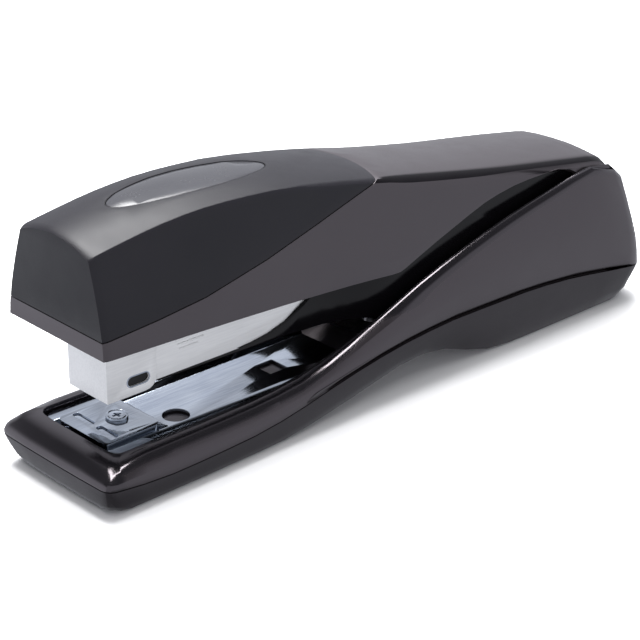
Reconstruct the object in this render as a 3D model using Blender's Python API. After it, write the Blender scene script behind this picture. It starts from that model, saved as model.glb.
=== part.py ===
"""A full-strip desktop stapler, built as separate pieces on three pivots and slides.

Lengths below are in millimetres. X runs from the nose to the tail, measured from just behind the nose, Y is
measured from the middle plane and Z from the table. place() turns them into metres, with the origin under
the middle of the stapler.
"""

from math import cos, pi, radians, sin, sqrt

import bmesh
import bpy
from mathutils import Matrix, Vector

# ---------------------------------------------------------------- driving dimensions
MM = 0.001
NOSE_X, TAIL_X = -0.7, 201.3
MIDDLE_X = (NOSE_X + TAIL_X) / 2
GAP = 0.3
PIN_X, PIN_Z, PIN_R = 165.0, 35.0, 2.0
PIN_BORE_R = PIN_R + GAP
PIN_HALF = 18.2
PUSHER_X = 17.0
SCREW_HOLE_R = 1.9

# Base: seam between the two shells, ridge of the upper shell, underside, deck inside the upper shell.
SEAM_Z = ((0, 8.4), (8, 7.4), (20, 6.6), (48, 7.3), (64, 9.4), (82, 12.9), (103, 15.8), (123, 17.1),
          (146, 17.0), (164, 15.8), (183, 13.0), (201.3, 10.2))
RIDGE_Z = ((4, 12.8), (12, 14.1), (34, 14.1), (48, 14.3), (64, 15.4), (77, 18.4), (94, 24.4), (112, 31.4),
           (128, 36.3), (145, 40.7), (162, 44), (174, 46.1), (178.5, 46.3), (182.5, 45.2), (186.6, 42),
           (190.5, 38.2), (193.8, 34.6))
UNDERSIDE_Z = ((5, 0.4), (55, 0.4), (66, 1.2), (76, 2.8), (90, 5.2), (104, 7.8), (113, 8.2), (122, 6.3),
               (134, 2), (142, 0.6), (150, 0.4), (191, 0.4), (196, 1.2))
DECK_Z = ((0, 10.2), (93, 10.2), (104, 12.8), (120, 12.8), (134, 10.2), (200, 10.2))
SEAM_HALF = ((0, 22.5), (30, 22), (75, 20.8), (105, 20.2), (150, 20.6), (185, 20.4), (201.3, 20))
RIDGE_HALF = ((0, 19.7), (50, 19), (80, 18.8), (105, 19.1), (150, 19.2), (180, 18.9), (194.2, 18.6))
WELL_HALF = ((0, 16.4), (30, 16), (55, 15.8), (80, 16.5), (98, 17.5), (106, 17.6), (193, 17.6))
ARCH_NARROWING = ((82, 0), (102, 1.7), (122, 1.9), (140, 1.5), (185, 1.4))
FOOT_INSET = ((0, 2.2), (50, 2.6), (105, 3.1), (140, 4.2), (200, 4.4))
NOSE_INSET, TAIL_INSET, INSET_ARC = 1.6, 0.8, 1.3
DECK_THICK, UPPER_WALL = 1.6, 1.8
RIDGE_NOSE, RIDGE_TAIL = 3.6, 193.8
WELL_NOSE, WELL_TAIL = 7.2, 192.1
NOSE_ARC, NOSE_BOW, TAIL_ARC, TAIL_BOW = 2.6, 0.25, 8.0, 1.0
SHOULDER = 1.3
LOWER_WALL, LOWER_FLOOR = 1.3, 2.4
BASE_SCREWS = ((30, -13), (30, 13), (178, -11.8), (178, 11.8))
FOOT_PADS = (("front_foot_pad", 11, 49, 9.5), ("rear_foot_pad", 149, 187, 8.4))
PAD_THICK, PAD_RECESS, PAD_CORNER = 1.4, 1.7, 3.7
ANVIL_SCREW_X, BRACKET_SCREWS_X, LEAF_RIVET_X = 20.0, (158.0, 172.0), 108.0
PLATE_X0, PLATE_X1, PLATE_TOP = 7.9, 91.5, 12.9
ANVIL_X0, ANVIL_X1, ANVIL_TOP, ANVIL_SHEET = 8.4, 26.4, 14.0, 0.8
EAR_IN, EAR_OUT, EAR_R, BRACKET_FOOT_Z, BRACKET_SHEET = 9.6, 10.8, 6.0, 10.5, 1.1
CLIP_IN, CLIP_OUT, CLIP_R = 11.2, 12.1, 4.2

# Handle: lower edge, top edge along the crown's sides, crown in the middle, widths.
HANDLE_LOW_Z = ((2.8, 41.9), (32, 40.6), (65, 38.7), (88, 36.9), (102, 35.6), (105, 36.6), (121, 42.2),
                (138, 47.4), (150, 48.7), (162, 48.7), (170, 46.2), (176, 42.2), (182, 39), (187.5, 38))
EDGE_Z = ((2.5, 66.9), (14, 68.6), (26, 70), (38, 70.6), (58, 69.6), (76, 67), (95, 63.3), (119, 58.3),
          (136, 55), (157, 51.5), (172, 48.9), (180, 47.4), (187.5, 45))
CROWN_RISE = ((2.8, 2.5), (40, 2.3), (80, 1.6), (107, 0.9), (150, 0.8), (187.5, 0.8))
LOW_HALF = ((2.5, 19.6), (60, 18.6), (102, 17.6), (120, 17.1), (160, 16.9), (180, 16.6), (187.5, 16.2))
SIDE_TOP_HALF = ((2.5, 14.5), (12, 14.4), (30, 14.6), (60, 15.2), (90, 16), (110, 16.5), (160, 16.6),
                 (187.5, 15.9))
EDGE_HALF = ((2.5, 13.3), (30, 13.4), (60, 14), (90, 14), (99, 13.4), (112, 12), (160, 11.9), (187.5, 11.6))
FILLET_Z = ((2.5, 1.4), (60, 1.7), (94, 2), (108, 3.3), (130, 3.1), (150, 2.4), (187.5, 2.3))
COVER_SEAM = ((-2, 46.6), (2.9, 46.8), (20, 47.7), (35, 49), (55.4, 52.8), (74.5, 57.6), (82.5, 59.8),
              (93.3, 62.7), (99.3, 64.1), (104.4, 66.6), (108, 80), (-2, 80))
SEAM_TIP_X, SEAM_TOP_Z = 100.0, 70.0
HANDLE_NOSE, HANDLE_TAIL = 2.5, 187.5
NOSE_LEAN, LEAN_LENGTH, LEAN_FOOT_Z = 0.8 / 26, 20.0, 41.9
FLARE_POWER = 1.5
NOSE_ROUND, NOSE_ROUND_LENGTH, TAIL_ROUND, TAIL_ROUND_LENGTH = 0.1, 2.2, 0.07, 6.0
COVER_WALL, BODY_WALL, REAR_WALL = 1.7, 1.6, 1.7
SKIN_DEPTH = 1.0
SKIN_STATIONS = (3.1, 3.9, 4.8, 8, 14, 20, 26, 32, 38, 45, 52, 60, 68, 76, 84, 92, 99, 102, 104, 107, 112,
                 117, 122, 128, 134, 139, 145, 151, 157, 163, 168, 173, 178, 181.5, 183.6, 185.4, 186.6)
INNER_STATIONS = (14, 26, 40, 56, 72, 88, 102, 112, 122, 134, 145, 156, 166, 175, 181.5, 184)
BADGE_X, BADGE_HALF_LENGTH, BADGE_HALF_WIDTH = 44.5, 25.0, 7.4
BADGE_FACE, BADGE_BACK, BADGE_SEAT = 0.15, 0.6, 0.9
LEVER_SCREWS_X = (42.0, 132.0)
LEVER_FRONT_X, LEVER_FRONT_Z, LEVER_REAR_Z = 13.6, 54.0, 47.4
LEVER_FLANGE, LEVER_SHEET, LEVER_HALF, LEVER_WALL, LEVER_EAR_R = 5.0, 1.0, 9.1, 1.2, 6.2
DRIVER_X0, DRIVER_X1, DRIVER_FOOT_Z, DRIVER_HALF, DRIVER_SHEET = 14.2, 14.7, 31.6, 6.2, 0.5
DRIVER_RIVET_X, DRIVER_RIVETS_Y = 18.6, (-3.6, 3.6)

# Magazine: steel channel, its front housing and the plastic carrier around it.
CHANNEL_HALF, CHANNEL_WALL = 7.05, 0.6
CHANNEL_X0, CHANNEL_Z0, CHANNEL_Z1 = 16.2, 24.7, 38.4
HOUSING_HALF, HOUSING_WALL, HOUSING_CORNER = 7.9, 0.7, 3.0
HOUSING_X0, HOUSING_X1, HOUSING_Z0, HOUSING_Z1 = 11.4, 26.9, 23.3, 38.4
SLOT_X, SLOT_Z, SLOT_R = (19.1, 23.3), 27.1, 1.25
CARRIER_LOW_Z = ((28, 23.7), (45, 23.4), (84, 23.2), (104, 22), (150, 22), (165, 23.4), (176.6, 24))
CARRIER_TOP_Z = ((28, 24.9), (50, 25.2), (60, 27.2), (68, 29.6), (76, 32.6), (92, 38.5), (100, 40.4),
                 (110, 43), (121, 45.2), (138, 48.2), (150, 48.8), (157, 48), (163, 46.8), (165, 46.6))
CARRIER_HALF = ((28, 8.3), (82, 8.3), (90, 10.2), (98, 13), (105, 14), (112, 14.1), (176, 14.1))
CARRIER_STATIONS = (28, 44, 52, 58, 64, 70, 76, 82, 87, 91, 95, 99, 103, 108, 114, 121, 129, 138, 145, 151,
                    157, 163, 165, 168.5, 172, 174.5, 176, 176.5)
HOLLOW_STATIONS = (27, 60, 84, 87, 91, 95, 99, 103, 108, 114, 150, 180)
CARRIER_WALL, TRAY_WALL, CARRIER_FLOOR = 1.4, 0.95, 24.4
CARRIER_REAR_R = 11.6
CARRIER_RIVETS_X = (70.0, 128.0)
ROD_Z, ROD_R = 34.8, 0.9
RAIL_HALF, RAIL_WALL, RAIL_Z0, RAIL_Z1 = 5.6, 0.7, 25.6, 31.0
PUSHER_HALF, PUSHER_LENGTH, PUSHER_Z0, PUSHER_Z1 = 6.1, 16.0, 31.4, 38.0

MATERIALS = {
    "satin_black_plastic": ((0.075, 0.068, 0.074), 0.42, 0.0),
    "gloss_black_plastic": ((0.012, 0.011, 0.013), 0.12, 0.0),
    "matte_black_plastic": ((0.035, 0.034, 0.040), 0.62, 0.0),
    "badge_grey_plastic": ((0.110, 0.110, 0.120), 0.25, 0.0),
    "chrome_steel": ((0.780, 0.800, 0.830), 0.12, 1.0),
    "satin_steel": ((0.620, 0.620, 0.630), 0.38, 1.0),
    "spring_steel": ((0.420, 0.420, 0.430), 0.32, 1.0),
    "black_rubber": ((0.020, 0.020, 0.021), 0.85, 0.0),
}


# ---------------------------------------------------------------- scene helpers
def place(x, y, z):
    """A point given from the nose in millimetres, in metres about the stapler's origin."""
    return Vector(((x - MIDDLE_X) * MM, y * MM, z * MM))


def clear_scene():
    """Removes every object, so the file starts empty."""
    for thing in list(bpy.data.objects):
        bpy.data.objects.remove(thing, do_unlink=True)


def new_collection(name):
    """A collection linked to the scene."""
    made = bpy.data.collections.new(name)
    bpy.context.scene.collection.children.link(made)
    return made


def make_materials():
    """One Principled BSDF material for each finish, by name."""
    made = {}
    for name, (colour, roughness, metallic) in MATERIALS.items():
        material = bpy.data.materials.new(name)
        material.use_nodes = True
        shader = material.node_tree.nodes["Principled BSDF"]
        shader.inputs["Base Color"].default_value = (*colour, 1.0)
        shader.inputs["Roughness"].default_value = roughness
        shader.inputs["Metallic"].default_value = metallic
        made[name] = material
    return made


def new_pivot(name, location, parent=None):
    """An empty that a group of pieces hangs from, set on the group's own axis."""
    pivot = bpy.data.objects.new(name, None)
    pivot.empty_display_size = 0.01
    PIECES.objects.link(pivot)
    pivot["rest"] = location
    pivot.location = location - (Vector(parent["rest"]) if parent else Vector((0, 0, 0)))
    pivot.parent = parent
    return pivot


def helper(obj):
    """Keeps a cutter out of the model."""
    for owner in list(obj.users_collection):
        owner.objects.unlink(obj)
    CUTTERS.objects.link(obj)
    obj.hide_render = True
    obj.display_type = "WIRE"
    return obj


def piece(obj, pivot, finish, smooth_angle=35):
    """Makes an object one of the stapler's pieces: its pivot, its finish and its shading."""
    obj.data.transform(Matrix.Translation(-Vector(pivot["rest"])))
    obj.parent = pivot
    obj.data.materials.clear()
    obj.data.materials.append(FINISHES[finish])
    obj.data.shade_smooth()
    obj.data.set_sharp_from_angle(angle=radians(smooth_angle))
    return obj


def boolean(obj, other, operation):
    """Adds a live Boolean modifier."""
    modifier = obj.modifiers.new(f"{operation.lower()} {other.name}", "BOOLEAN")
    modifier.operation = operation
    modifier.object = other
    modifier.solver = "EXACT"
    return obj


def cut(obj, *others):
    """Takes other solids away from an object."""
    for other in others:
        boolean(obj, other, "DIFFERENCE")
    return obj


def join(obj, *others):
    """Unites other solids with an object."""
    for other in others:
        boolean(obj, other, "UNION")
    return obj


# ---------------------------------------------------------------- shape helpers
def curve_value(points, x):
    """The height at x of a smooth curve through points, level with its end points beyond them."""
    if x <= points[0][0]:
        return points[0][1]
    if x >= points[-1][0]:
        return points[-1][1]
    last = len(points) - 1
    i = max(k for k in range(last) if points[k][0] <= x)

    def slope(k):
        """A slope that never overshoots: none at a turning point, else its sides' harmonic mean."""
        if k in (0, last):
            return 0.0
        before = (points[k][1] - points[k - 1][1]) / (points[k][0] - points[k - 1][0])
        after = (points[k + 1][1] - points[k][1]) / (points[k + 1][0] - points[k][0])
        return 0.0 if before * after <= 0 else 2 * before * after / (before + after)

    (x0, z0), (x1, z1) = points[i], points[i + 1]
    run = x1 - x0
    t = (x - x0) / run
    start, end = slope(i) * run, slope(i + 1) * run
    if i == 0:
        start = 1.5 * (z1 - z0) - end / 2
    if i + 1 == last:
        end = 1.5 * (z1 - z0) - start / 2
    return ((2 * t**3 - 3 * t**2 + 1) * z0 + (t**3 - 2 * t**2 + t) * start
            + (3 * t**2 - 2 * t**3) * z1 + (t**3 - t**2) * end)


def mix(a, b, t):
    """The value that lies the share t of the way from a to b."""
    return a + (b - a) * t


def steps(start, end, count):
    """Evenly spaced values from start to end, both included."""
    return [mix(start, end, k / (count - 1)) for k in range(count)]


def object_of(name, bm):
    """An object from a bmesh, with its faces turned outwards."""
    bmesh.ops.recalc_face_normals(bm, faces=bm.faces)
    if bm.calc_volume(signed=True) < 0:
        bmesh.ops.reverse_faces(bm, faces=bm.faces)
    mesh = bpy.data.meshes.new(name)
    bm.to_mesh(mesh)
    bm.free()
    made = bpy.data.objects.new(name, mesh)
    PIECES.objects.link(made)
    return made


def box(name, x, y, z):
    """A box between two values of each of x, y and z."""
    bm = bmesh.new()
    size = Vector((x[1] - x[0], y[1] - y[0], z[1] - z[0])) * MM
    middle = place((x[0] + x[1]) / 2, (y[0] + y[1]) / 2, (z[0] + z[1]) / 2)
    bmesh.ops.create_cube(bm, size=1, matrix=Matrix.Translation(middle) @ Matrix.Diagonal((*size, 1)))
    return object_of(name, bm)


def rod(name, start, end, radius, sides=24, end_radius=None):
    """A round bar, or a cone where end_radius is given, between two points."""
    start, end = place(*start), place(*end)
    along = end - start
    turn = along.to_track_quat("Z", "Y").to_matrix().to_4x4()
    bm = bmesh.new()
    bmesh.ops.create_cone(
        bm, cap_ends=True, segments=sides, radius1=radius * MM,
        radius2=(radius if end_radius is None else end_radius) * MM, depth=along.length,
        matrix=Matrix.Translation((start + end) / 2) @ turn)
    return object_of(name, bm)


def solid_from_curve(name, curve, frame=Matrix.Identity(4)):
    """A closed mesh object from a filled curve, with the curve's caps welded on, set in a frame."""
    made = bpy.data.objects.new(name, curve)
    PIECES.objects.link(made)
    bpy.context.view_layer.update()
    graph = bpy.context.evaluated_depsgraph_get()
    mesh = bpy.data.meshes.new_from_object(made.evaluated_get(graph))
    bpy.data.objects.remove(made, do_unlink=True)
    bm = bmesh.new()
    bm.from_mesh(mesh)
    bpy.data.meshes.remove(mesh)
    bm.transform(frame)
    bmesh.ops.remove_doubles(bm, verts=bm.verts, dist=1e-6)
    return object_of(name, bm)


def slab(name, outline, side, low, high):
    """A flat outline given thickness. side names the axis it is thick along, from low to high."""
    curve = bpy.data.curves.new(name, "CURVE")
    curve.dimensions = "2D"
    curve.fill_mode = "BOTH"
    curve.extrude = (high - low) / 2 * MM
    spline = curve.splines.new("POLY")
    spline.points.add(len(outline) - 1)
    for point, (a, b) in zip(spline.points, outline):
        point.co = (a * MM, b * MM, 0, 1)
    spline.use_cyclic_u = True
    middle = (low + high) / 2 * MM
    offset = -MIDDLE_X * MM
    frames = {
        "Y": Matrix(((1, 0, 0, offset), (0, 0, 1, middle), (0, 1, 0, 0), (0, 0, 0, 1))),
        "X": Matrix(((0, 0, 1, middle + offset), (1, 0, 0, 0), (0, 1, 0, 0), (0, 0, 0, 1))),
        "Z": Matrix(((1, 0, 0, offset), (0, 1, 0, 0), (0, 0, 1, middle), (0, 0, 0, 1))),
    }
    return solid_from_curve(name, curve, frames[side])


def wire(name, points, radius):
    """A round wire through points, as a mesh."""
    curve = bpy.data.curves.new(name, "CURVE")
    curve.dimensions = "3D"
    curve.bevel_depth = radius * MM
    curve.bevel_resolution = 1
    curve.use_fill_caps = True
    spline = curve.splines.new("POLY")
    spline.points.add(len(points) - 1)
    for point, position in zip(spline.points, points):
        point.co = (*place(*position), 1)
    return solid_from_curve(name, curve)


def loft(name, rings, strip_caps=False):
    """A solid skinned over rings of equal point count. A strip cap joins a symmetric ring's two halves."""
    bm = bmesh.new()
    loops = [[bm.verts.new(place(*point)) for point in ring] for ring in rings]
    count = len(loops[0])
    for one, two in zip(loops, loops[1:]):
        for k in range(count):
            after = (k + 1) % count
            bm.faces.new((one[k], one[after], two[after], two[k]))
    for loop in (loops[0], loops[-1]):
        if not strip_caps:
            bm.faces.new(loop)
            continue
        half = count // 2
        bm.faces.new((loop[0], loop[1], loop[-1]))
        for k in range(1, half - 1):
            bm.faces.new((loop[k], loop[k + 1], loop[-k - 1], loop[-k]))
        bm.faces.new((loop[half - 1], loop[half], loop[half + 1]))
    return object_of(name, bm)


def rounded_rectangle(x, y, radius, corner_points=5):
    """The outline of a rectangle with round corners, between two values of each of x and y."""
    outline = []
    for cx, cy, start in ((x[1], y[1], 0), (x[0], y[1], 90), (x[0], y[0], 180), (x[1], y[0], 270)):
        inset_x = cx - radius if cx == x[1] else cx + radius
        inset_y = cy - radius if cy == y[1] else cy + radius
        for angle in steps(start, start + 90, corner_points):
            outline.append((inset_x + radius * cos(radians(angle)), inset_y + radius * sin(radians(angle))))
    return outline


def arc(centre, radius, start, end, count):
    """Points on an arc, with its angles in degrees."""
    return [(centre[0] + radius * cos(radians(a)), centre[1] + radius * sin(radians(a)))
            for a in steps(start, end, count)]


# ---------------------------------------------------------------- base
def plan_ring(nose, tail, half, height, front_arc=NOSE_ARC):
    """A closed ring round the base: its plan has round corners, and height(x) gives each point's z."""
    start, finish = nose + NOSE_BOW + front_arc, tail - TAIL_BOW - TAIL_ARC
    side = [(nose, 0), (nose + NOSE_BOW / 4, half(start) / 2)]
    side += [(start - front_arc * cos(a), half(start) - front_arc * (1 - sin(a)))
             for a in steps(0, pi / 2, 4)]
    side += [(x, half(x)) for x in steps(start, finish, 22)[1:-1]]
    side += [(finish + TAIL_ARC * sin(a), half(finish) - TAIL_ARC * (1 - cos(a)))
             for a in steps(0, pi / 2, 6)]
    side += [(tail - TAIL_BOW / 4, half(finish) / 4), (tail, 0)]
    outline = side + [(x, -y) for x, y in side[-2:0:-1]]
    return [(x, y, height(x)) for x, y in outline]


def between_seam_and_ridge(share):
    """A ring of the base's outer side, share of the way up from the seam to the ridge."""
    swell = SHOULDER * sin(pi * share)

    def half(x):
        return mix(curve_value(SEAM_HALF, x), curve_value(RIDGE_HALF, x), share) + swell

    def height(x):
        return mix(curve_value(SEAM_Z, x) + GAP / 2, curve_value(RIDGE_Z, x), share)

    return plan_ring(mix(NOSE_X, RIDGE_NOSE, share) - swell * 0.9,
                     mix(TAIL_X, RIDGE_TAIL, share) + swell * 0.6, half, height)


def below_seam(inset, height):
    """A ring inside the seam's plan by inset(x), at height(x)."""
    return plan_ring(NOSE_X + inset(0) * NOSE_INSET, TAIL_X - inset(TAIL_X) * TAIL_INSET,
                     lambda x: curve_value(SEAM_HALF, x) - inset(x), height, NOSE_ARC + inset(0) * INSET_ARC)


def build_upper_shell():
    """The upper shell: outer sides, ridge, well with its deck, screw bosses and blind bores for the pin."""
    def deck(x):
        return curve_value(DECK_Z, x)

    def ridge(x):
        return curve_value(RIDGE_Z, x)

    def well(drop):
        return lambda x: curve_value(WELL_HALF, x) - drop * min(max((x - 60) / 40, 0), 1)

    def tub_half(x):
        return curve_value(SEAM_HALF, x) - 3.1 - curve_value(ARCH_NARROWING, x)

    rings = [plan_ring(5, TAIL_X - 6.6, tub_half, lambda x: deck(x) - DECK_THICK),
             below_seam(lambda x: UPPER_WALL, lambda x: curve_value(SEAM_Z, x) + GAP / 2)]
    rings += [between_seam_and_ridge(share) for share in steps(0, 1, 6)]
    rings.append(plan_ring(WELL_NOSE, WELL_TAIL, well(0), lambda x: ridge(x) + 0.2))
    rings.append(plan_ring(WELL_NOSE, WELL_TAIL, well(0.1),
                           lambda x: deck(x) + min(ridge(x) - deck(x), 5) * 0.7))
    rings.append(plan_ring(WELL_NOSE, WELL_TAIL - 0.4,
                           lambda x: well(1.2)(x) - 1.4 * curve_value(ARCH_NARROWING, x), deck))
    shell = loft("base_upper_shell", rings, strip_caps=True)
    for index, (x, y) in enumerate(BASE_SCREWS):
        join(shell, helper(rod(f"post_{index}", (x, y, 3.6), (x, y, 9.4), 3, 16)))
    for index, (x, y) in enumerate(BASE_SCREWS):
        cut(shell, helper(rod(f"post_bore_{index}", (x, y, 2), (x, y, 8.2), 1.5, 12)))
    reach = PIN_HALF + GAP
    cut(shell, helper(rod("wing_bores", (PIN_X, -reach, PIN_Z), (PIN_X, reach, PIN_Z), PIN_BORE_R)))
    for index, x in enumerate((ANVIL_SCREW_X, *BRACKET_SCREWS_X, LEAF_RIVET_X)):
        cut(shell, helper(rod(f"deck_bore_{index}", (x, 0, 5), (x, 0, 18), SCREW_HOLE_R, 16)))
    return piece(shell, BASE, "satin_black_plastic")


def build_lower_shell():
    """The lower shell: a shallow tray with recesses for the foot pads and sunk screw holes."""
    def under(x):
        return curve_value(UNDERSIDE_Z, x)

    def level(share):
        return lambda x: mix(under(x), curve_value(SEAM_Z, x) - GAP / 2, share)

    def foot(share, wall=0.0):
        return lambda x: curve_value(FOOT_INSET, x) * share + wall

    rings = [below_seam(foot(1), under), below_seam(foot(0.5), level(0.32)),
             below_seam(foot(0.2), level(0.7)), below_seam(foot(0), level(1)),
             below_seam(foot(0, LOWER_WALL), level(1)),
             below_seam(foot(1, LOWER_WALL), lambda x: under(x) + LOWER_FLOOR)]
    shell = loft("base_lower_shell", rings, strip_caps=True)
    for name, x0, x1, half in FOOT_PADS:
        outline = rounded_rectangle((x0 - GAP, x1 + GAP), (-half - GAP, half + GAP), PAD_CORNER + GAP)
        cut(shell, helper(slab(f"{name}_recess", outline, "Z", -1, PAD_RECESS)))
    for index, (x, y) in enumerate(BASE_SCREWS):
        cut(shell, helper(rod(f"head_sink_{index}", (x, y, -1), (x, y, 1.7), 2.9, 16)))
        cut(shell, helper(rod(f"floor_hole_{index}", (x, y, 1), (x, y, 6), 1.5, 12)))
    return piece(shell, BASE, "satin_black_plastic")


def cross_head_screw(name, x, y, head_z, tip_z, head_r, shank_r):
    """A screw with a cross recess in its head. Its tip is at tip_z, above or below the head."""
    way = 1 if tip_z > head_z else -1
    thick = 1.2
    screw = rod(name, (x, y, head_z), (x, y, head_z + way * thick), head_r, 20)
    join(screw, helper(rod(f"{name}_shank", (x, y, head_z + way * 0.5), (x, y, tip_z), shank_r, 12)))
    low, high = sorted((head_z - way * 0.5, head_z + way * 0.6))
    reach = head_r * 0.6
    cut(screw, helper(box(f"{name}_slot_x", (x - reach, x + reach), (y - 0.35, y + 0.35), (low, high))))
    cut(screw, helper(box(f"{name}_slot_y", (x - 0.35, x + 0.35), (y - reach, y + reach), (low, high))))
    return screw


def build_feet_and_base_screws():
    """Rubber pads let into the underside, and the screws that hold the two shells together."""
    for name, x0, x1, half in FOOT_PADS:
        pad = slab(name, rounded_rectangle((x0, x1), (-half, half), PAD_CORNER), "Z", 0, PAD_THICK)
        piece(pad, BASE, "black_rubber")
    for index, (x, y) in enumerate(BASE_SCREWS):
        screw = cross_head_screw(f"base_screw_{index + 1}", x, y, 0.3, 7.4, 2.6, 1.2)
        piece(screw, BASE, "spring_steel")


def build_base_plate():
    """The bright plate on the deck, with its raised sides, and the anvil that clinches the staple legs."""
    right = ((10.3, 10.5), (11.3, 12.1), (15.3, 12.1), (15.3, PLATE_TOP), (10.9, PLATE_TOP), (9.9, 11.3))
    section = list(right) + [(-y, z) for y, z in reversed(right)]
    plate = slab("base_channel", section, "X", PLATE_X0, PLATE_X1)
    plan = rounded_rectangle((PLATE_X0 + 0.1, PLATE_X1 + 1), (-15.2, 15.2), 3)
    boolean(plate, helper(slab("plate_plan", plan, "Z", 9, 15)), "INTERSECT")
    cut(plate, helper(rod("round_hole", (35, -5, 9), (35, -5, 15), 3.6, 24)))
    cut(plate, helper(box("square_hole", (68.5, 74.5), (-3.2, 3.2), (9, 15))))
    ends = (ANVIL_SCREW_X, 0, 9), (ANVIL_SCREW_X, 0, 15)
    screw_hole = helper(rod("plate_screw_hole", *ends, SCREW_HOLE_R, 16))
    cut(plate, screw_hole)
    piece(plate, BASE, "chrome_steel")

    outline = rounded_rectangle((ANVIL_X0, ANVIL_X1), (-10, 10), 2.2)
    anvil = slab("anvil_plate", outline, "Z", ANVIL_TOP - 2.4, ANVIL_TOP)
    rim = ANVIL_SHEET
    inside = rounded_rectangle((ANVIL_X0 + rim, ANVIL_X1 - rim), (rim - 10, 10 - rim), 1.5)
    cut(anvil, helper(slab("anvil_hollow", inside, "Z", 11, ANVIL_TOP - rim)))
    for index, (y0, y1) in enumerate(((-8.8, -0.9), (0.9, 8.8))):
        groove = slab(f"clinch_groove_{index}", rounded_rectangle((12.2, 14.2), (y0, y1), 0.9), "Z", 13.5, 15)
        cut(anvil, helper(groove))
    cut(anvil, screw_hole)
    piece(anvil, BASE, "chrome_steel")
    piece(cross_head_screw("anvil_screw", ANVIL_SCREW_X, 0, 15.5, 6.4, 2.9, 1.5), BASE, "chrome_steel")


def build_hinge():
    """The steel bracket on the deck, its screws, and the long pin with a clip on each side."""
    foot, top = BRACKET_FOOT_Z, BRACKET_FOOT_Z + BRACKET_SHEET
    outline = [(153, foot), (177, foot), (177, top + 0.2), (173, 14)]
    outline += arc((PIN_X, PIN_Z), EAR_R, 0, 180, 13)
    outline += [(157, 14), (153, top + 0.2)]
    bracket = slab("hinge_bracket", outline, "Y", -EAR_OUT, EAR_OUT)
    cut(bracket, helper(box("bracket_space", (140, 190), (-EAR_IN, EAR_IN), (top, 60))))
    cut(bracket, helper(rod("bracket_bore", (PIN_X, -20, PIN_Z), (PIN_X, 20, PIN_Z), PIN_BORE_R, 20)))
    for index, x in enumerate(BRACKET_SCREWS_X):
        cut(bracket, helper(rod(f"bracket_hole_{index}", (x, 0, 9), (x, 0, 14), SCREW_HOLE_R, 16)))
        piece(cross_head_screw(f"bracket_screw_{index + 1}", x, 0, 13.1, 6.6, 2.7, 1.5), BASE, "spring_steel")
    piece(bracket, BASE, "satin_steel")
    piece(rod("hinge_pin", (PIN_X, -PIN_HALF, PIN_Z), (PIN_X, PIN_HALF, PIN_Z), PIN_R), BASE, "satin_steel")
    for name, side in (("pin_clip_left", -1), ("pin_clip_right", 1)):
        clip = rod(name, (PIN_X, side * CLIP_IN, PIN_Z), (PIN_X, side * CLIP_OUT, PIN_Z), CLIP_R)
        cut(clip, pin_bore(f"{name}_bore"))
        cut(clip, helper(box(f"{name}_mouth", (PIN_X - 1.3, PIN_X + 1.3), sorted((side * 10, side * 13)),
                             (PIN_Z - 6, PIN_Z))))
        piece(clip, BASE, "spring_steel")


def build_lift_spring():
    """The leaf spring that lifts the magazine off the anvil, and its rivet."""
    top = [(113.5, 14), (104, 14), (98, 15.4), (92, 18.6), (87.5, 21.6), (84, 22.6), (81.5, 22)]
    below = [(x, z - 0.8) for x, z in reversed(top)]
    leaf = slab("lift_spring", top + below, "Y", -4.5, 4.5)
    cut(leaf, helper(rod("leaf_hole", (LEAF_RIVET_X, 0, 10), (LEAF_RIVET_X, 0, 18), SCREW_HOLE_R, 16)))
    piece(leaf, BASE, "chrome_steel")
    rivet = rod("lift_spring_rivet", (LEAF_RIVET_X, 0, 14.3), (LEAF_RIVET_X, 0, 15.3), 2.8, 20, 2.2)
    join(rivet, helper(rod("rivet_shank", (LEAF_RIVET_X, 0, 11.7), (LEAF_RIVET_X, 0, 14.8), 1.5, 12)))
    piece(rivet, BASE, "spring_steel")


# ---------------------------------------------------------------- magazine
def pin_bore(name):
    """A cutter that clears the hinge pin right through the stapler."""
    return helper(rod(name, (PIN_X, -25, PIN_Z), (PIN_X, 25, PIN_Z), PIN_BORE_R, 20))


def build_magazine_channel():
    """The steel channel that holds the staples, with ears round the pin."""
    outline = [(CHANNEL_X0, CHANNEL_Z0), (152, CHANNEL_Z0), (160, 29), (PIN_X + 2, 29)]
    outline += arc((PIN_X, PIN_Z), 6, -40, 90, 8)
    outline += [(156, 41), (150, CHANNEL_Z1), (CHANNEL_X0, CHANNEL_Z1)]
    channel = slab("magazine_channel", outline, "Y", -CHANNEL_HALF, CHANNEL_HALF)
    inner = CHANNEL_HALF - CHANNEL_WALL
    cut(channel, helper(box("staple_space", (10, 190), (-inner, inner), (CHANNEL_Z0 + CHANNEL_WALL, 60))))
    cut(channel, helper(box("ear_space", (157, 190), (-inner, inner), (10, 60))))
    cut(channel, pin_bore("channel_bore"))
    for index, x in enumerate(CARRIER_RIVETS_X):
        cut(channel, helper(rod(f"channel_rivet_hole_{index}", (x, 0, 20), (x, 0, 26), 1.8, 16)))
    piece(channel, MAGAZINE, "satin_steel")


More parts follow.
